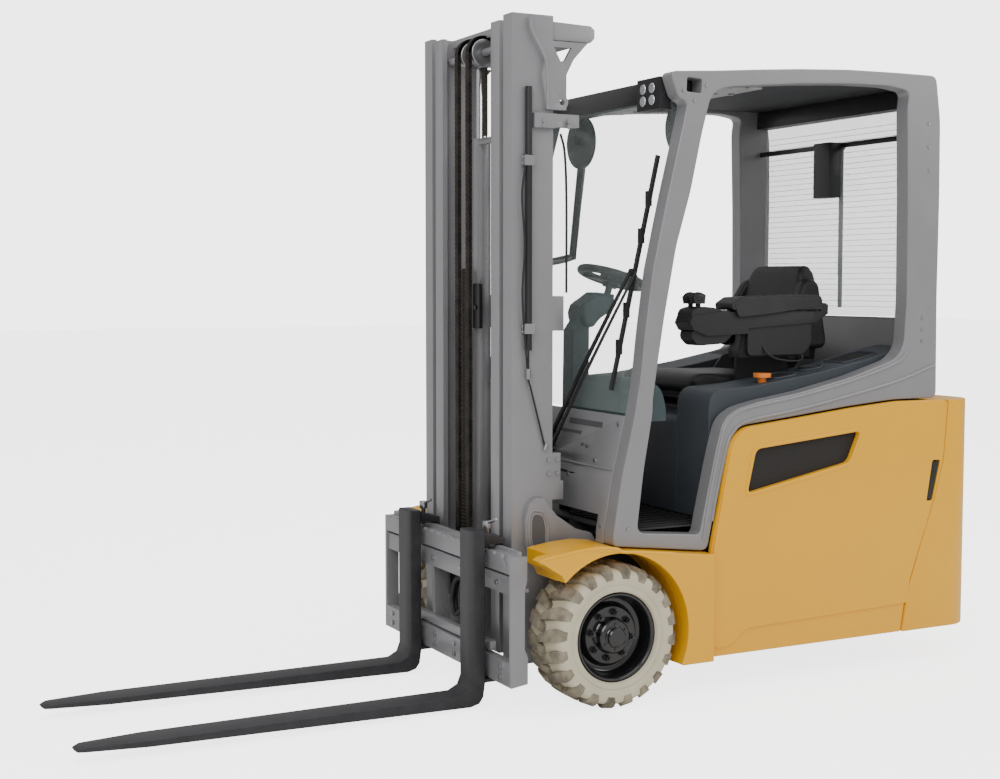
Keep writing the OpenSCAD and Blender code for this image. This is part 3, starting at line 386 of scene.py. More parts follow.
# ---------------------------------------------------------------- fenders
# Yellow steel wings over the front wheels: a flat top flange with a rounded lip and a beak in front.
arch = [(265 * math.cos(math.radians(a)), 229 + 265 * math.sin(math.radians(a))) for a in range(205, 44, -5)]
fender_top = [(-365, 112), (-365, 461), (-300, 468), (-210, 479), (-140, 488), (-76, 495), (-16, 501), (6, 512),
              (70, 519), (140, 515), (200, 507), (262, 498), (277, 490), (262, 480)]
for side, mirrored in (("left", False), ("right", True)):
    bm = bmesh.new()
    prism(bm, [(-365, 112), (-246, 112)] + arch + [(200, 440), (262, 480), (277, 490)] + fender_top[-3:1:-1]
          + [(-365, 461)], 501, 556)
    piece(bm, f"{side}_wing", yellow_paint, "chassis", [f"{side}_fender"], soften=4,
          segments=3, mirrored=mirrored)
    bm = bmesh.new()
    prism(bm, [(-365, 112), (-246, 112)] + arch + [(200, 440), (223, 456), (223, 503)] + fender_top[-4:1:-1]
          + [(-365, 461)], 372, 501.5)
    piece(bm, f"{side}_wing_inside", yellow_paint, "chassis", mirrored=mirrored)
    bm = bmesh.new()
    tube(bm, [(p.x, 553, p.z) for p in curve_through([(x, 0, z - 3) for x, z in fender_top[3:-1]], 4)],
         lambda t: 5.5)
    piece(bm, f"{side}_wing_lip", yellow_paint, "chassis", mirrored=mirrored)

# ---------------------------------------------------------------- tyres
# Solid non-marking rubber tyres with deep lugs over the shoulders, pressed on steel rims.
tyre_rubber = surface("tyre_rubber", (0.66, 0.60, 0.44), 0.75, spread=0.08, grain=14, bump=0.35, fine=260)
lug_rubber = surface("lug_rubber", (0.27, 0.235, 0.17), 0.9, spread=0.5, grain=26, bump=0.5, fine=180)
TYRE_R = 229
tyre_profile = [(142, 14), (146, 5), (160, 2), (164, 5), (168, 2), (190, 0.5), (202, 3), (210, 12), (213, 30),
                (213, 100), (213, 170), (210, 188), (202, 197), (190, 199.5), (168, 198), (164, 195), (160, 198),
                (146, 195), (142, 186)]


def turned(bm, profile, centre, y_sign=1, steps=96):
    """A profile of (radius, y) pairs turned about an axis along Y through the centre."""
    ring = [bm.verts.new((centre[0] + r, centre[1] + y * y_sign, centre[2])) for r, y in profile]
    edges = [bm.edges.new(ring[i:i + 2]) for i in range(len(ring) - 1)]
    bmesh.ops.spin(bm, geom=ring + edges, cent=centre, axis=(0, 1, 0), angle=math.tau, steps=steps,
                   use_merge=True, use_duplicate=False)


def lug(bm, turn, half):
    """One tread lug: it starts near the middle of the tread, sweeps to the shoulder and ends on the sidewall."""
    rows = []
    for r_out, r_in, y, sweep, wide in ((229, 205, -10, 0, 2.5), (229, 205, 8, 2.0, 3.6), (229, 205, 46, 5.2, 4.6),
                                        (227, 205, 74, 7.0, 5.0), (217, 198, 92, 7.4, 5.0),
                                        (203, 196, 99.4, 7.4, 4.6), (186, 186, 99.6, 7.4, 3.4)):
        row = []
        for r, w in ((r_out, wide), (r_in, wide + 0.9)):
            depth = 0 if y < 80 else (0 if r == r_out else -10)
            for sign in (-1, 1):
                a = math.radians(turn + sweep + sign * w)
                row.append(bm.verts.new((r * math.cos(a), half * (y + depth), TYRE_R + r * math.sin(a))))
        rows.append(row)
    for a, b in zip(rows, rows[1:]):
        for i, j in ((0, 1), (1, 3), (3, 2), (2, 0)):
            bm.faces.new((a[i], a[j], b[j], b[i]))
    bm.faces.new((rows[0][0], rows[0][1], rows[0][3], rows[0][2]))
    bm.faces.new((rows[-1][0], rows[-1][1], rows[-1][3], rows[-1][2]))


for side, mirrored in (("left", False), ("right", True)):
    bm = bmesh.new()
    turned(bm, tyre_profile, (0, 360, TYRE_R))
    piece(bm, f"{side}_tyre_carcass", tyre_rubber, f"{side}_wheel", [f"{side}_tyre"],
          mirrored=mirrored)
    bm = bmesh.new()
    for i in range(20):
        lug(bm, i * 18, 1)
        lug(bm, i * 18 + 9, -1)
    bmesh.ops.translate(bm, verts=bm.verts, vec=(0, 460, 0))
    piece(bm, f"{side}_tyre_lugs", lug_rubber, f"{side}_wheel", soften=2.5, mirrored=mirrored)

# ---------------------------------------------------------------- rims
# Pressed steel rims in gloss black with a stepped hub, eight wheel nuts and a hub cap.
rim_paint = surface("rim_paint", (0.008, 0.008, 0.009), 0.22, coat=0.6, bump=0.05)
rim_profile = [(36, 60), (60, 60), (60, 96), (100, 112), (124, 114), (124, 20), (141, 16), (141.8, 180),
               (138, 187), (132, 187), (126, 180), (124, 160), (121, 150), (118, 132), (112, 128), (104, 128),
               (100, 133), (94, 146), (90, 150), (58, 150), (54, 154), (53, 176), (49, 180), (34, 180),
               (31, 183), (30, 192), (27, 195), (0, 196)]
for side, mirrored in (("left", False), ("right", True)):
    bm = bmesh.new()
    turned(bm, rim_profile, (0, 360, TYRE_R), steps=80)
    piece(bm, f"{side}_wheel_rim", rim_paint, f"{side}_wheel", [f"{side}_rim"], mirrored=mirrored)
    bm = bmesh.new()
    for i in range(8):
        a = math.radians(i * 45 + 10)
        x, z = 73 * math.cos(a), TYRE_R + 73 * math.sin(a)
        rod(bm, (x, 508, z), (x, 512, z), 14, sides=24)
        rod(bm, (x, 510, z), (x, 526, z), 11.5, 10.5, sides=6)
        rod(bm, (x, 524, z), (x, 534, z), 5.5, sides=14)
    for i in range(6):
        a = math.radians(i * 60 + 30)
        rod(bm, (41 * math.cos(a), 539, TYRE_R + 41 * math.sin(a)),
            (41 * math.cos(a), 543, TYRE_R + 41 * math.sin(a)), 4.5, sides=6)
    piece(bm, f"{side}_wheel_nuts", rim_paint, f"{side}_wheel", soften=0.8, mirrored=mirrored)

# ---------------------------------------------------------------- running gear
# The drive axle, battery, steered twin rear wheels and tilt cylinders: dark painted steel, cast and welded.
dark_steel = surface("dark_steel", (0.045, 0.045, 0.05), 0.6, spread=0.15, bump=0.3, fine=300, grime=0.5)
rod_chrome = surface("rod_chrome", (0.72, 0.72, 0.74), 0.12, metal=1.0)
battery_case = surface("battery_case", (0.03, 0.035, 0.04), 0.55, bump=0.2)
for name in ("chassis_frame", "drive_axle", "steer_turntable", "seat_suspension"):
    dress(name, dark_steel, 1.5)
dress("battery", battery_case, 4)
dress("tilt_barrels", black_paint, 1)
dress("tilt_rods", rod_chrome, 0.6)
for name in ("rear_left_wheel", "rear_right_wheel"):
    dress(name, tyre_rubber, 3, 3)

# ---------------------------------------------------------------- mast
# Two nested pairs of rolled steel rails, painted light grey, with welded head brackets and tilt lugs.
dress("outer_mast", grey_paint, 3, 3)
dress("inner_mast", grey_paint, 2.5, 2)
dress("lift_cylinders", grey_paint, 2, 2)
dress("lift_rods", rod_chrome, 1)
dress("chain_pulleys", bolt_steel, 3, 3)
dress("height_sensor", black_plastic, 1)
# A near-black grey used as painted shade: it fills the tilt-lug recesses and the cowl's slots and holes.
recess_shade_grey = surface("recess_shade_grey", (0.10, 0.10, 0.105), 0.6)
for side, mirrored in (("left", False), ("right", True)):
    bm = bmesh.new()
    face = curve_through([(196, 0, 2150), (188, 0, 2110), (150, 0, 2046), (138, 0, 2010), (134, 0, 1950),
                          (134, 0, 1872)], 6)
    tube(bm, [(p.x, 337, p.z) for p in face], 4.5)
    ring = [(150, 606), (186, 612), (199, 588), (199, 520), (186, 482), (160, 474), (136, 490), (132, 560)]
    tube(bm, [(p.x, 342, p.z) for p in curve_through([(x, 0, z) for x, z in ring + ring[:1]], 6)[:-1]], 5,
         closed=True)
    for x, z in ((90, 725), (120, 725), (90, 768), (120, 768)):
        rod(bm, (x, 326, z), (x, 331, z), 7, sides=6)
    for x, z in ((60, 1838), (60, 1822), (150, 1838), (150, 1822)):
        rod(bm, (x, 337, z), (x, 348, z), 8, sides=6)
    rod(bm, (100, 318, 229), (100, 330, 229), 30, 28, sides=40)
    piece(bm, f"{side}_mast_trim", grey_paint, "outer_mast", soften=1, mirrored=mirrored)
    # A dark plate in the lug's recess: painted shade inside the recess.
    bm = bmesh.new()
    prism(bm, rounded([(152, 596), (182, 600), (189, 582), (189, 522), (180, 492), (160, 484), (144, 496),
                       (141, 556)], 14, 5), 340, 342.6)
    piece(bm, f"{side}_lug_recess", recess_shade_grey, "outer_mast", mirrored=mirrored)
bm = bmesh.new()
for z in (1712, 1188):
    box(bm, 182, 219, 322, 349, z - 16, z + 16)
    for dz in (-9, 9):
        rod(bm, (219, 338, z + dz), (225, 338, z + dz), 5, sides=6)
rod(bm, (200, 336, 1029), (200, 336, 1062), 8, sides=16)
rod(bm, (200, 336, 1052), (190, 334, 1010), 4, sides=12)
rod(bm, (137, 330, 800), (131, 330, 822), 7, sides=16)
piece(bm, "sensor_clamps", bolt_steel, "outer_mast", soften=1.5)
hose_rubber = surface("hose_rubber", (0.015, 0.015, 0.016), 0.55, bump=0.3)
bm = bmesh.new()
tube(bm, curve_through([(214, 340, 1695), (228, 345, 1600), (216, 342, 1450), (226, 344, 1300),
                        (214, 341, 1150), (205, 338, 1064)], 10), 3)
tube(bm, curve_through([(84, 332, 1800), (70, 334, 1740), (62, 332, 1600), (60, 330, 1300)], 10), 4)
piece(bm, "sensor_wire", hose_rubber, "outer_mast")

# ---------------------------------------------------------------- lift chains and hoses
# Oiled leaf chains over the head pulleys, and rubber hoses in spiral guards beside them.
chain_steel = surface("chain_steel", (0.065, 0.055, 0.045), 0.45, metal=0.8, spread=0.4, grain=30, bump=0.3)
CHAIN_PITCH = 15.875
PULLEY = (213, 2079)
bm = bmesh.new()
for y in (40, -40):
    for i in range(101):
        z = 2074 - i * CHAIN_PITCH
        for k in range(5):
            shift = 0 if k % 2 else CHAIN_PITCH / 2
            box(bm, 256.5, 269.5, y - 11 + k * 5, y - 8 + k * 5, z - 8.6 - shift, z + 5.6 - shift)
        rod(bm, (263, y - 13, z), (263, y + 14, z), 2.6, sides=8)
front_chain = piece(bm, "chain_front_runs", chain_steel, "inner_mast", ["lift_chains"])
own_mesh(front_chain)
bm = bmesh.new()
for y in (40, -40):
    for i in range(22):
        a = math.radians(i * 180 / 21)
        spot = (PULLEY[0] + 50 * math.cos(a), 0, PULLEY[1] + 50 * math.sin(a))
        for k in range(3):
            box(bm, spot[0] - 6, spot[0] + 6, y - 11 + k * 9, y - 6 + k * 9, spot[2] - 7, spot[2] + 7,
                Matrix.Rotation(-a, 3, "Y"))
    box(bm, 158, 168, y - 12, y + 12, 1822, 2079)
piece(bm, "chain_rear_runs", chain_steel, "inner_mast")
bm = bmesh.new()
for y in (-75, -97):
    tube(bm, [(213, y, 480 + i * 2.5) for i in range(361)],
         lambda t: 9.4 + 1.5 * math.sin(t * math.tau * 75), sides=14)
piece(bm, "mast_spiral_hoses", hose_rubber, "inner_mast", ["mast_hoses"])
bm = bmesh.new()
box(bm, 186, 200, -60, -10, 1180, 1330)
rod(bm, (200, -36, 1250), (206, -36, 1250), 9, sides=6)
piece(bm, "hose_plate", black_paint, "inner_mast", soften=3)

# ---------------------------------------------------------------- carriage and forks
# A welded grey carriage with notched upper bar, and two forged hook-on forks in charcoal paint.
fork_steel = surface("fork_steel", (0.026, 0.026, 0.029), 0.48, spread=0.25, grain=20, bump=0.25, fine=120)
dress("fork_carriage", grey_paint, 2, 2)
for side in ("left", "right"):
    dress(f"{side}_fork", fork_steel, 4, 3)
    dress(f"{side}_fork_lock", bolt_steel, 1)
bm = bmesh.new()
for y in (-420, -260, -60, 90, 250, 420):
    for z in (116, 150):
        rod(bm, (339, y, z), (348, y, z), 9, sides=6)
for y in (-300, -90, 120, 380):
    rod(bm, (331, y, 405), (340, y, 405), 8, sides=6)
piece(bm, "carriage_bolts", bolt_steel, "carriage", soften=1)
bm = bmesh.new()
loop = curve_through([(292, -20, 300), (300, -10, 380), (296, 40, 410), (300, 90, 370), (296, 80, 280),
                      (300, 30, 240), (296, 0, 280), (300, 30, 350), (292, 66, 372)], 12)
tube(bm, loop, 9)
tube(bm, [p + Vector((14, 8, -6)) for p in loop], 8)
piece(bm, "carriage_hose_loop", hose_rubber, "carriage")

# ---------------------------------------------------------------- cowl and dash
# The grey front cowl below the screen, with its slots, bolts and wiper boss, and a moulded dash behind it.
dress("front_cowl", grey_paint, 2)
dress("floor_mat", hose_rubber, 1)
dash_plastic = surface("dash_plastic", (0.055, 0.085, 0.09), 0.6, bump=0.25, fine=500)


def on_cowl(y, z, out=0.0):
    """A point on the leaning cowl face, moved out of it by a distance."""
    for (z0, x0), (z1, x1) in (((726, -41), (910, -86)), ((508, -9), (726, -41))):
        if z >= z0:
            break
    return (x0 + (x1 - x0) * (z - z0) / (z1 - z0) + out, y, z)


# Dark slots and round holes on the cowl face: painted shade inside the openings.
bm = bmesh.new()
for y0, y1, z, tall in ((120, 330, 872, 9), (60, 210, 838, 5), (-330, -120, 872, 9)):
    x = on_cowl(0, z)[0]
    box(bm, x - 3, x + 1.2, y0, y1, z - tall, z + tall, Matrix.Rotation(-0.24, 3, "Y"))
for y, z in ((230, 800), (260, 796), (60, 780), (-60, 780), (390, 640), (-390, 640)):
    rod(bm, on_cowl(y, z, -3), on_cowl(y, z, 1), 7, sides=16)
piece(bm, "cowl_slots", recess_shade_grey, "chassis")
bm = bmesh.new()
for y, z in ((425, 884), (425, 560), (-425, 884), (-425, 560), (180, 700), (-180, 700), (330, 760)):
    rod(bm, on_cowl(y, z, -1), on_cowl(y, z, 5), 9, 8, sides=6)
piece(bm, "cowl_bolts", bolt_steel, "chassis", soften=0.8)
bm = bmesh.new()
for y0, y1 in ((-447, -60), (60, 447)):
    tube(bm, [on_cowl(y0 + (y1 - y0) * t / 12, 740, 0.5) for t in range(13)], 3.5)
piece(bm, "cowl_folds", grey_paint, "chassis")
bm = bmesh.new()
dome = curve_through([(-104, 0, 884), (-116, 0, 940), (-136, 0, 990), (-180, 0, 1020), (-228, 0, 1018),
                      (-264, 0, 992), (-280, 0, 944), (-283, 0, 884)], 5)
stations = [(41, 0.80), (52, 0.93), (80, 0.985), (140, 1), (300, 1), (360, 0.985), (388, 0.93), (399, 0.80)]
rows = []
for y, share in stations:
    rows.append([bm.verts.new((-190 + (p.x + 190) * (0.6 + 0.4 * share), y, 882 + (p.z - 882) * share))
                 for p in dome])
for a, b in zip(rows, rows[1:]):
    for i in range(len(a) - 1):
        bm.faces.new((a[i], a[i + 1], b[i + 1], b[i]))
    bm.faces.new((a[0], b[0], b[-1], a[-1]))
bm.faces.new(rows[0])
bm.faces.new(rows[-1][::-1])
piece(bm, "dash_dome", dash_plastic, "chassis", ["dash_console"])
bm = bmesh.new()
for i in range(22):
    y = -425 + i * 40.5
    if -250 < y < 76:
        box(bm, -398, -294, y - 9, y + 9, 554, 558)
    else:
        box(bm, -398, -110, y - 9, y + 9, 554, 558)
piece(bm, "mat_ribs", hose_rubber, "chassis", soften=1)

# ---------------------------------------------------------------- battery hood
# A moulded blue-grey plastic hood with rolled edges, trays, a cup holder and the stop button.
hood_plastic = surface("hood_plastic", (0.05, 0.06, 0.072), 0.55, spread=0.05, bump=0.35, fine=600)
hood_side = [(-412, 554), (-412, 920), (-416, 950), (-430, 972), (-455, 983), (-600, 991), (-850, 1026),
             (-1050, 1063), (-1190, 1093), (-1303, 1111), (-1303, 872), (-1000, 852), (-430, 832), (-424, 554)]
hood_middle = [(-412, 554), (-412, 868), (-430, 884), (-1303, 884), (-1303, 872), (-1000, 852), (-430, 832),
               (-424, 554)]
bm = bmesh.new()
prism(bm, rounded(hood_side, 22, 5), 258, 446)
prism(bm, rounded(hood_side, 22, 5), -446, -258)
piece(bm, "hood_sides", hood_plastic, "chassis", ["battery_hood"], soften=14, segments=4)
bm = bmesh.new()
prism(bm, rounded(hood_middle, 12), -258, 258)
piece(bm, "hood_middle", hood_plastic, "chassis", soften=3)


def hood_height(x):
    line = [(-1303, 1111), (-1190, 1093), (-1050, 1063), (-850, 1026), (-600, 991), (-455, 983)]
    for (x0, z0), (x1, z1) in zip(line, line[1:]):
        if x <= x1:
            return z0 + (z1 - z0) * (x - x0) / (x1 - x0)
    return line[-1][1]


bm = bmesh.new()
for x0, x1, y0, y1 in ((-1150, -1010, 296, 404), (-800, -720, 300, 400), (-1150, -1010, -404, -296)):
    zc = hood_height((x0 + x1) / 2)
    tilt = Matrix.Rotation(math.atan2(hood_height(x0) - hood_height(x1), x1 - x0), 3, "Y")
    box(bm, x0, x1, y0, y1, zc - 3, zc + 1.6, tilt)
rod(bm, (-905, 345, hood_height(-905) - 6), (-905, 345, hood_height(-905) + 4), 40, sides=40)
piece(bm, "hood_trays", vent_mesh, "chassis", soften=2)
bm = bmesh.new()
for x0, x1, y0, y1 in ((-1156, -1004, 290, 410), (-806, -714, 294, 406)):
    corners = [(x0, y0), (x1, y0), (x1, y1), (x0, y1)]
    rim_line = rounded(corners, 24, 5)
    tube(bm, [(x, y, hood_height(x) + 1.5) for x, y in rim_line], 4, closed=True)
tube(bm, [(-905 + 42 * math.cos(math.tau * i / 32), 345 + 42 * math.sin(math.tau * i / 32),
           hood_height(-905 + 42 * math.cos(math.tau * i / 32)) + 2) for i in range(32)], 4, closed=True)
piece(bm, "hood_tray_rims", hood_plastic, "chassis")
stop_orange = surface("stop_orange", (0.95, 0.25, 0.02), 0.35, coat=0.3)
dress("emergency_stop", stop_orange, 4, 3)

# ---------------------------------------------------------------- seat
# A sprung driver's seat: foam cushions under stitched black vinyl with a wrap-round back.
vinyl = surface("vinyl", (0.02, 0.02, 0.022), 0.42, spread=0.2, grain=12, bump=0.6, fine=420)


def cushion(name, outline, half_width, body, stands_for, crown, creases, narrow=0.0):
    """A stuffed cover over a side outline: cloth under air pressure, held at its base, with sewn creases."""
    bm = bmesh.new()
    prism(bm, rounded(outline, 24, 5), -half_width, half_width)
    bmesh.ops.transform(bm, matrix=TO_ROW, verts=bm.verts)
    bmesh.ops.recalc_face_normals(bm, faces=bm.faces)
    mesh = bpy.data.meshes.new(name)
    bm.to_mesh(mesh)
    bm.free()
    mesh.materials.append(vinyl)
    o = bpy.data.objects.new(name, mesh)
    bpy.context.scene.collection.objects.link(o)
    bpy.context.view_layer.objects.active = o
    o.select_set(True)
    skin = o.modifiers.new("skin", "REMESH")
    skin.mode = "VOXEL"
    skin.voxel_size = 0.012
    bpy.ops.object.modifier_apply(modifier=skin.name)
    ease = o.modifiers.new("ease", "SMOOTH")
    ease.iterations = 4
    ease.factor = 0.5
    bpy.ops.object.modifier_apply(modifier=ease.name)
    anchor = o.vertex_groups.new(name="held")
    low = min(v.co.z for v in o.data.vertices)
    for v in o.data.vertices:
        v.co.y *= 1 - narrow * max(0.0, v.co.z - low - 0.12) ** 1.5
    for v in o.data.vertices:
        sewn = any(abs((Vector(c[0]) - v.co).dot(Vector(c[1]))) < 0.007 for c in creases)
        anchor.add([v.index], 1.0 if v.co.z < low + 0.015 or sewn else 0.0, "REPLACE")
    cloth = o.modifiers.new("cloth", "CLOTH")
    cloth.settings.vertex_group_mass = "held"
    cloth.settings.pin_stiffness = 1
    cloth.settings.use_pressure = True
    cloth.settings.uniform_pressure_force = crown
    cloth.settings.tension_stiffness = 40
    cloth.settings.compression_stiffness = 40
    cloth.settings.bending_stiffness = 2
    cloth.settings.effector_weights.gravity = 0
    for f in range(1, 15):
        bpy.context.scene.frame_set(f)
    bpy.ops.object.modifier_apply(modifier=cloth.name)
    bpy.context.scene.frame_set(1)
    soft = o.modifiers.new("soft", "SMOOTH")
    soft.iterations = 2
    soft.factor = 0.4
    bpy.ops.object.modifier_apply(modifier=soft.name)
    o.data.polygons.foreach_set("use_smooth", [True] * len(o.data.polygons))
    o.select_set(False)
    round_up = o.modifiers.new("round_up", "SUBSURF")
    round_up.levels = round_up.render_levels = 1
    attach(o, body)
    if stands_for:
        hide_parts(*stands_for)
    return o


def row_point(x, y, z):
    return ((x + AXLE_X) / 1000, y / 1000, z / 1000)


seat_side = [(-500, 975), (-498, 1008), (-530, 1024), (-640, 1018), (-800, 1012), (-925, 1012), (-925, 958),
             (-520, 954)]
back_side = [(-955, 1040), (-966, 1120), (-985, 1240), (-1012, 1370), (-1032, 1396), (-1062, 1396),
             (-1078, 1376), (-1074, 1200), (-1040, 1040)]
cushion("seat_base", seat_side, 228, "seat", ["seat_cushion"], 0.6,
        [(row_point(-640, 0, 1018), (1, 0, 0)), (row_point(-780, 0, 1018), (1, 0, 0))])
cushion("seat_back", back_side, 208, "backrest", ["seat_backrest"], 0.6,
        [(row_point(-1000, 0, 1150), (0, 0, 1)), (row_point(-1000, 0, 1290), (0, 0, 1))], narrow=3.0)
wing_side = [(-930, 1095), (-944, 1170), (-966, 1270), (-1000, 1340), (-1040, 1350), (-1068, 1330),
             (-1064, 1100)]
for side, sign in (("left", 1), ("right", -1)):
    bm = bmesh.new()
    prism(bm, rounded(wing_side, 30, 5), sign * 196, sign * 244)
    for v in bm.verts:
        v.co.y -= sign * 0.28 * max(0, v.co.z - 1150)
    piece(bm, f"seat_wing_{side}", vinyl, "backrest", soften=17, segments=5)
bm = bmesh.new()
for y in (-240, 230):
    prism(bm, rounded([(-905, 940), (-905, 1005), (-955, 1062), (-1010, 1062), (-1012, 1020), (-985, 940)], 12),
          y, y + 10)
box(bm, -960, -560, -190, 190, 937, 949)
piece(bm, "seat_brackets", dark_steel, "seat", soften=1)

# ---------------------------------------------------------------- armrest and control pod
# A moulded black pod on the seat's left arm, with a faceted padded lid, two levers and a cable to the hood.
dress("armrest_console", black_plastic, 8, 4)
for name in ("lift_lever", "tilt_lever"):
    dress(name, black_plastic, 4, 4)
bm = bmesh.new()
prism(bm, rounded([(-566, 1241), (-560, 1262), (-596, 1284), (-760, 1290), (-900, 1292), (-938, 1287),
                   (-945, 1268), (-945, 1240)], 8), 262, 362)
for y in (256, 352):
    prism(bm, rounded([(-590, 1216), (-570, 1262), (-600, 1280), (-930, 1280), (-938, 1252), (-700, 1224)], 8),
          y, y + 12)
box(bm, -985, -940, 285, 335, 1240, 1262)
piece(bm, "armrest_lid", vinyl, "armrest_pad", ["armrest_pad"], soften=10, segments=5)
bm = bmesh.new()
tube(bm, [(-570 - 370 * t / 20, 361, 1262 + 2 * math.sin(t / 20 * math.pi)) for t in range(21)], 2)
piece(bm, "armrest_seam", black_plastic, "armrest_pad")
bm = bmesh.new()
prism(bm, rounded([(-418, 1176), (-412, 1150), (-440, 1122), (-545, 1128), (-600, 1172)], 14), 268, 342)
prism(bm, rounded([(-404, 1212), (-412, 1244), (-448, 1254), (-500, 1250), (-545, 1236), (-560, 1200)], 14),
      262, 348)
prism(bm, rounded([(-640, 1182), (-912, 1196), (-912, 1120), (-880, 1084), (-640, 1084)], 20), 255, 345)
piece(bm, "pod_shells", black_plastic, "seat", soften=9, segments=4)
for name, y in (("lift", 322), ("tilt", 278)):
    bm = bmesh.new()
    made = bmesh.ops.create_icosphere(bm, subdivisions=3, radius=1)["verts"]
    bmesh.ops.scale(bm, vec=(27, 17, 19), verts=made)
    bmesh.ops.translate(bm, vec=(-449, y, 1283), verts=made)
    piece(bm, f"{name}_lever_knob", black_plastic, f"{name}_lever")
key_print = surface("key_print", (0.45, 0.45, 0.43), 0.5)
bm = bmesh.new()
for i in range(3):
    for j in range(3):
        box(bm, -520 - i * 16, -510 - i * 16, 316 + j * 12, 323 + j * 12, 1234 + i * 2, 1239 + i * 2)
piece(bm, "pod_keys", key_print, "seat", soften=1)
bm = bmesh.new()
tube(bm, curve_through([(-700, 340, 1130), (-712, 352, 1098), (-740, 364, 1076), (-790, 368, 1066),
                        (-840, 362, 1064), (-868, 350, 1072), (-872, 338, 1092)], 8), 3.5)
piece(bm, "pod_cable", hose_rubber, "seat")

# ---------------------------------------------------------------- steering and pedals
# A moulded wheel with a spinner knob on a tilting column, and two hinged pedals with rubber pads.
dress("steering_column", dash_plastic, 9, 4)
for name, width in (("steering_wheel", 2), ("steering_knob", 6)):
    dress(name, black_plastic, width, 3)
for name in ("accelerator_pedal", "brake_pedal"):
    dress(name, hose_rubber, 2)
bm = bmesh.new()
column_cover = [(-172, 1188), (-160, 1230), (-176, 1262), (-236, 1296), (-286, 1282), (-282, 1248),
                (-230, 1206), (-204, 1176)]
prism(bm, rounded(column_cover, 18, 4), -58, 58)
piece(bm, "column_cover", dash_plastic, "steering_column", soften=14, segments=4)

# ---------------------------------------------------------------- wipers
# A pantograph screen wiper with two parallel arms and a long blade, and a smaller one on the rear window.
LEAN = math.radians(10.4)
ARM = 715
ARM_ANGLE = math.radians(30.5)


def on_screen(u, v, out):
    """A point by its height u and side distance v along the screen from the wiper's shaft, and out from it."""
    return (-61 - u * math.sin(LEAN) + out * math.cos(LEAN), 45 + v,
            752 + u * math.cos(LEAN) + out * math.sin(LEAN))


tip_u, tip_v = ARM * math.cos(ARM_ANGLE), ARM * math.sin(ARM_ANGLE)
bm = bmesh.new()
rod(bm, on_screen(0, 0, -6), on_screen(0, 0, 52), 17, 14)
rod(bm, on_screen(0, 0, -20), on_screen(0, 0, 20), 9)
for dv, r in ((0, 8), (34, 6)):
    tube(bm, [on_screen(tip_u * t / 10, dv + tip_v * t / 10, 44 + 6 * math.sin(t / 10 * math.pi))
              for t in range(11)], lambda t, r=r: r * (1.15 - 0.4 * t))
rod(bm, on_screen(0, 34, 16), on_screen(0, 34, 50), 10)
for t in (0.12, 0.2, 0.28):
    rod(bm, on_screen(tip_u * t, tip_v * t, 44), on_screen(tip_u * t, tip_v * t + 34, 44), 3.5)
piece(bm, "wiper_links", black_paint, "wiper_arm", ["wiper_arm"], soften=0.6)
bm = bmesh.new()
spine = [on_screen(tip_u + s, tip_v - s * math.tan(math.radians(-4)), 30) for s in range(-380, 381, 40)]
tube(bm, spine, 6)
tube(bm, [(x - 8, y, z - 2) for x, y, z in spine], 4)
rod(bm, on_screen(tip_u, tip_v, 26), on_screen(tip_u, tip_v, 46), 12)
for s in (-240, -120, 120, 240):
    mid = on_screen(tip_u + s, tip_v - s * math.tan(math.radians(-4)), 30)
    box(bm, mid[0] - 8, mid[0] + 8, mid[1] - 9, mid[1] + 9, mid[2] - 24, mid[2] + 24)
piece(bm, "wiper_blade_bow", hose_rubber, "wiper_blade", ["wiper_blade"], soften=1.5)
bm = bmesh.new()
tube(bm, [on_screen(-20, 10, 24), on_screen(-46, 60, 16), on_screen(-50, 150, 12), on_screen(-40, 240, 8)], 4)
piece(bm, "washer_hose", hose_rubber, "chassis")
dress("rear_wiper", black_paint, 1.5)

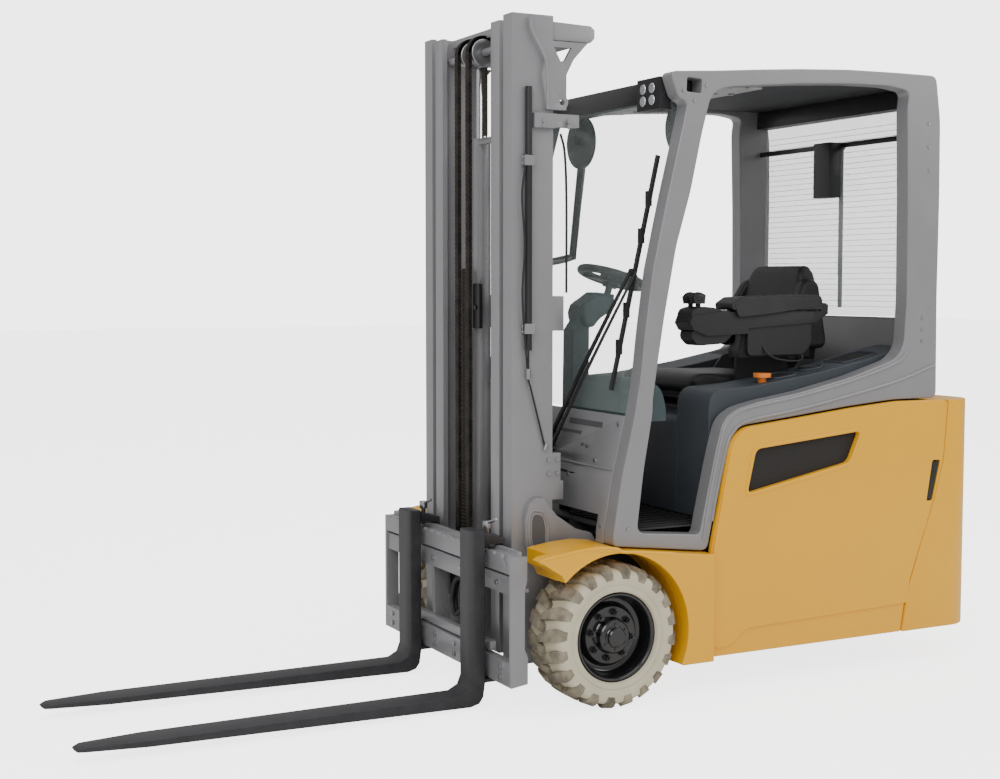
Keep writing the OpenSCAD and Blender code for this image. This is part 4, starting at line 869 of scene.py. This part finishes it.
# ---------------------------------------------------------------- lamp and mirrors
# A work lamp with four light cells under the roof edge, and two round mirrors hung from the header.
dress("work_lamp", black_plastic, 6, 3)
lamp_cell = surface("lamp_cell", (0.75, 0.77, 0.8), 0.12, metal=0.7)
bm = bmesh.new()
for y in (346, 398):
    for z in (1914, 1952):
        rod(bm, (-213, y, z), (-210, y, z), 17, 15, sides=28)
piece(bm, "lamp_cells", lamp_cell, "work_lamp", soften=1)
mirror_back = surface("mirror_back", (0.03, 0.03, 0.033), 0.4, bump=0.2)
mirror_face = surface("mirror_face", (0.8, 0.82, 0.84), 0.04, metal=1.0)
for side in ("left", "right"):
    dress(f"{side}_mirror", mirror_back, 4, 4)
    y = 330 if side == "left" else -330
    bm = bmesh.new()
    rod(bm, (-387.5, y, 1845), (-386, y, 1845), 88, sides=64)
    piece(bm, f"{side}_mirror_glass", mirror_face, f"{side}_mirror")

# ---------------------------------------------------------------- floor and light
# A pale floor and broad soft lamps. The floor and the world look whiter than the light they throw.
floor = bpy.data.objects.new("floor", bpy.data.meshes.new("floor"))
bm = bmesh.new()
bmesh.ops.create_grid(bm, x_segments=1, y_segments=1, size=40)
bm.to_mesh(floor.data)
bm.free()
backdrop = surface("floor_paint", (0.97, 0.97, 0.97), 0.7, spread=0.002)
seen = backdrop.node_tree.nodes.new("ShaderNodeLightPath")
lift = backdrop.node_tree.nodes.new("ShaderNodeMath")
lift.operation = "MULTIPLY"
lift.inputs[1].default_value = 3.1
backdrop.node_tree.links.new(seen.outputs["Is Camera Ray"], lift.inputs[0])
backdrop.node_tree.nodes["Principled BSDF"].inputs["Emission Color"].default_value = (1, 1, 1, 1)
backdrop.node_tree.links.new(lift.outputs["Value"],
                             backdrop.node_tree.nodes["Principled BSDF"].inputs["Emission Strength"])
floor.data.materials.append(backdrop)
bpy.context.scene.collection.objects.link(floor)
world = bpy.data.worlds.new("studio")
world.use_nodes = True
world.node_tree.nodes["Background"].inputs["Color"].default_value = (1, 1, 1, 1)
seen = world.node_tree.nodes.new("ShaderNodeLightPath")
lift = world.node_tree.nodes.new("ShaderNodeMapRange")
lift.inputs["To Min"].default_value = 0.58
lift.inputs["To Max"].default_value = 4.0
world.node_tree.links.new(seen.outputs["Is Camera Ray"], lift.inputs["Value"])
world.node_tree.links.new(lift.outputs["Result"], world.node_tree.nodes["Background"].inputs["Strength"])
bpy.context.scene.world = world
for name, place, size, power in (("key", (5, 5.5, 5.5), 4.5, 250), ("rim", (-5, 3.5, 4.5), 4, 110),
                                 ("top", (0, 0, 6), 5, 100)):
    lamp = bpy.data.objects.new(name, bpy.data.lights.new(name, "AREA"))
    lamp.data.size = size
    lamp.data.energy = power
    lamp.location = place
    lamp.rotation_euler = (Vector((0, 0, 0.8)) - Vector(place)).to_track_quat("-Z", "Y").to_euler()
    bpy.context.scene.collection.objects.link(lamp)
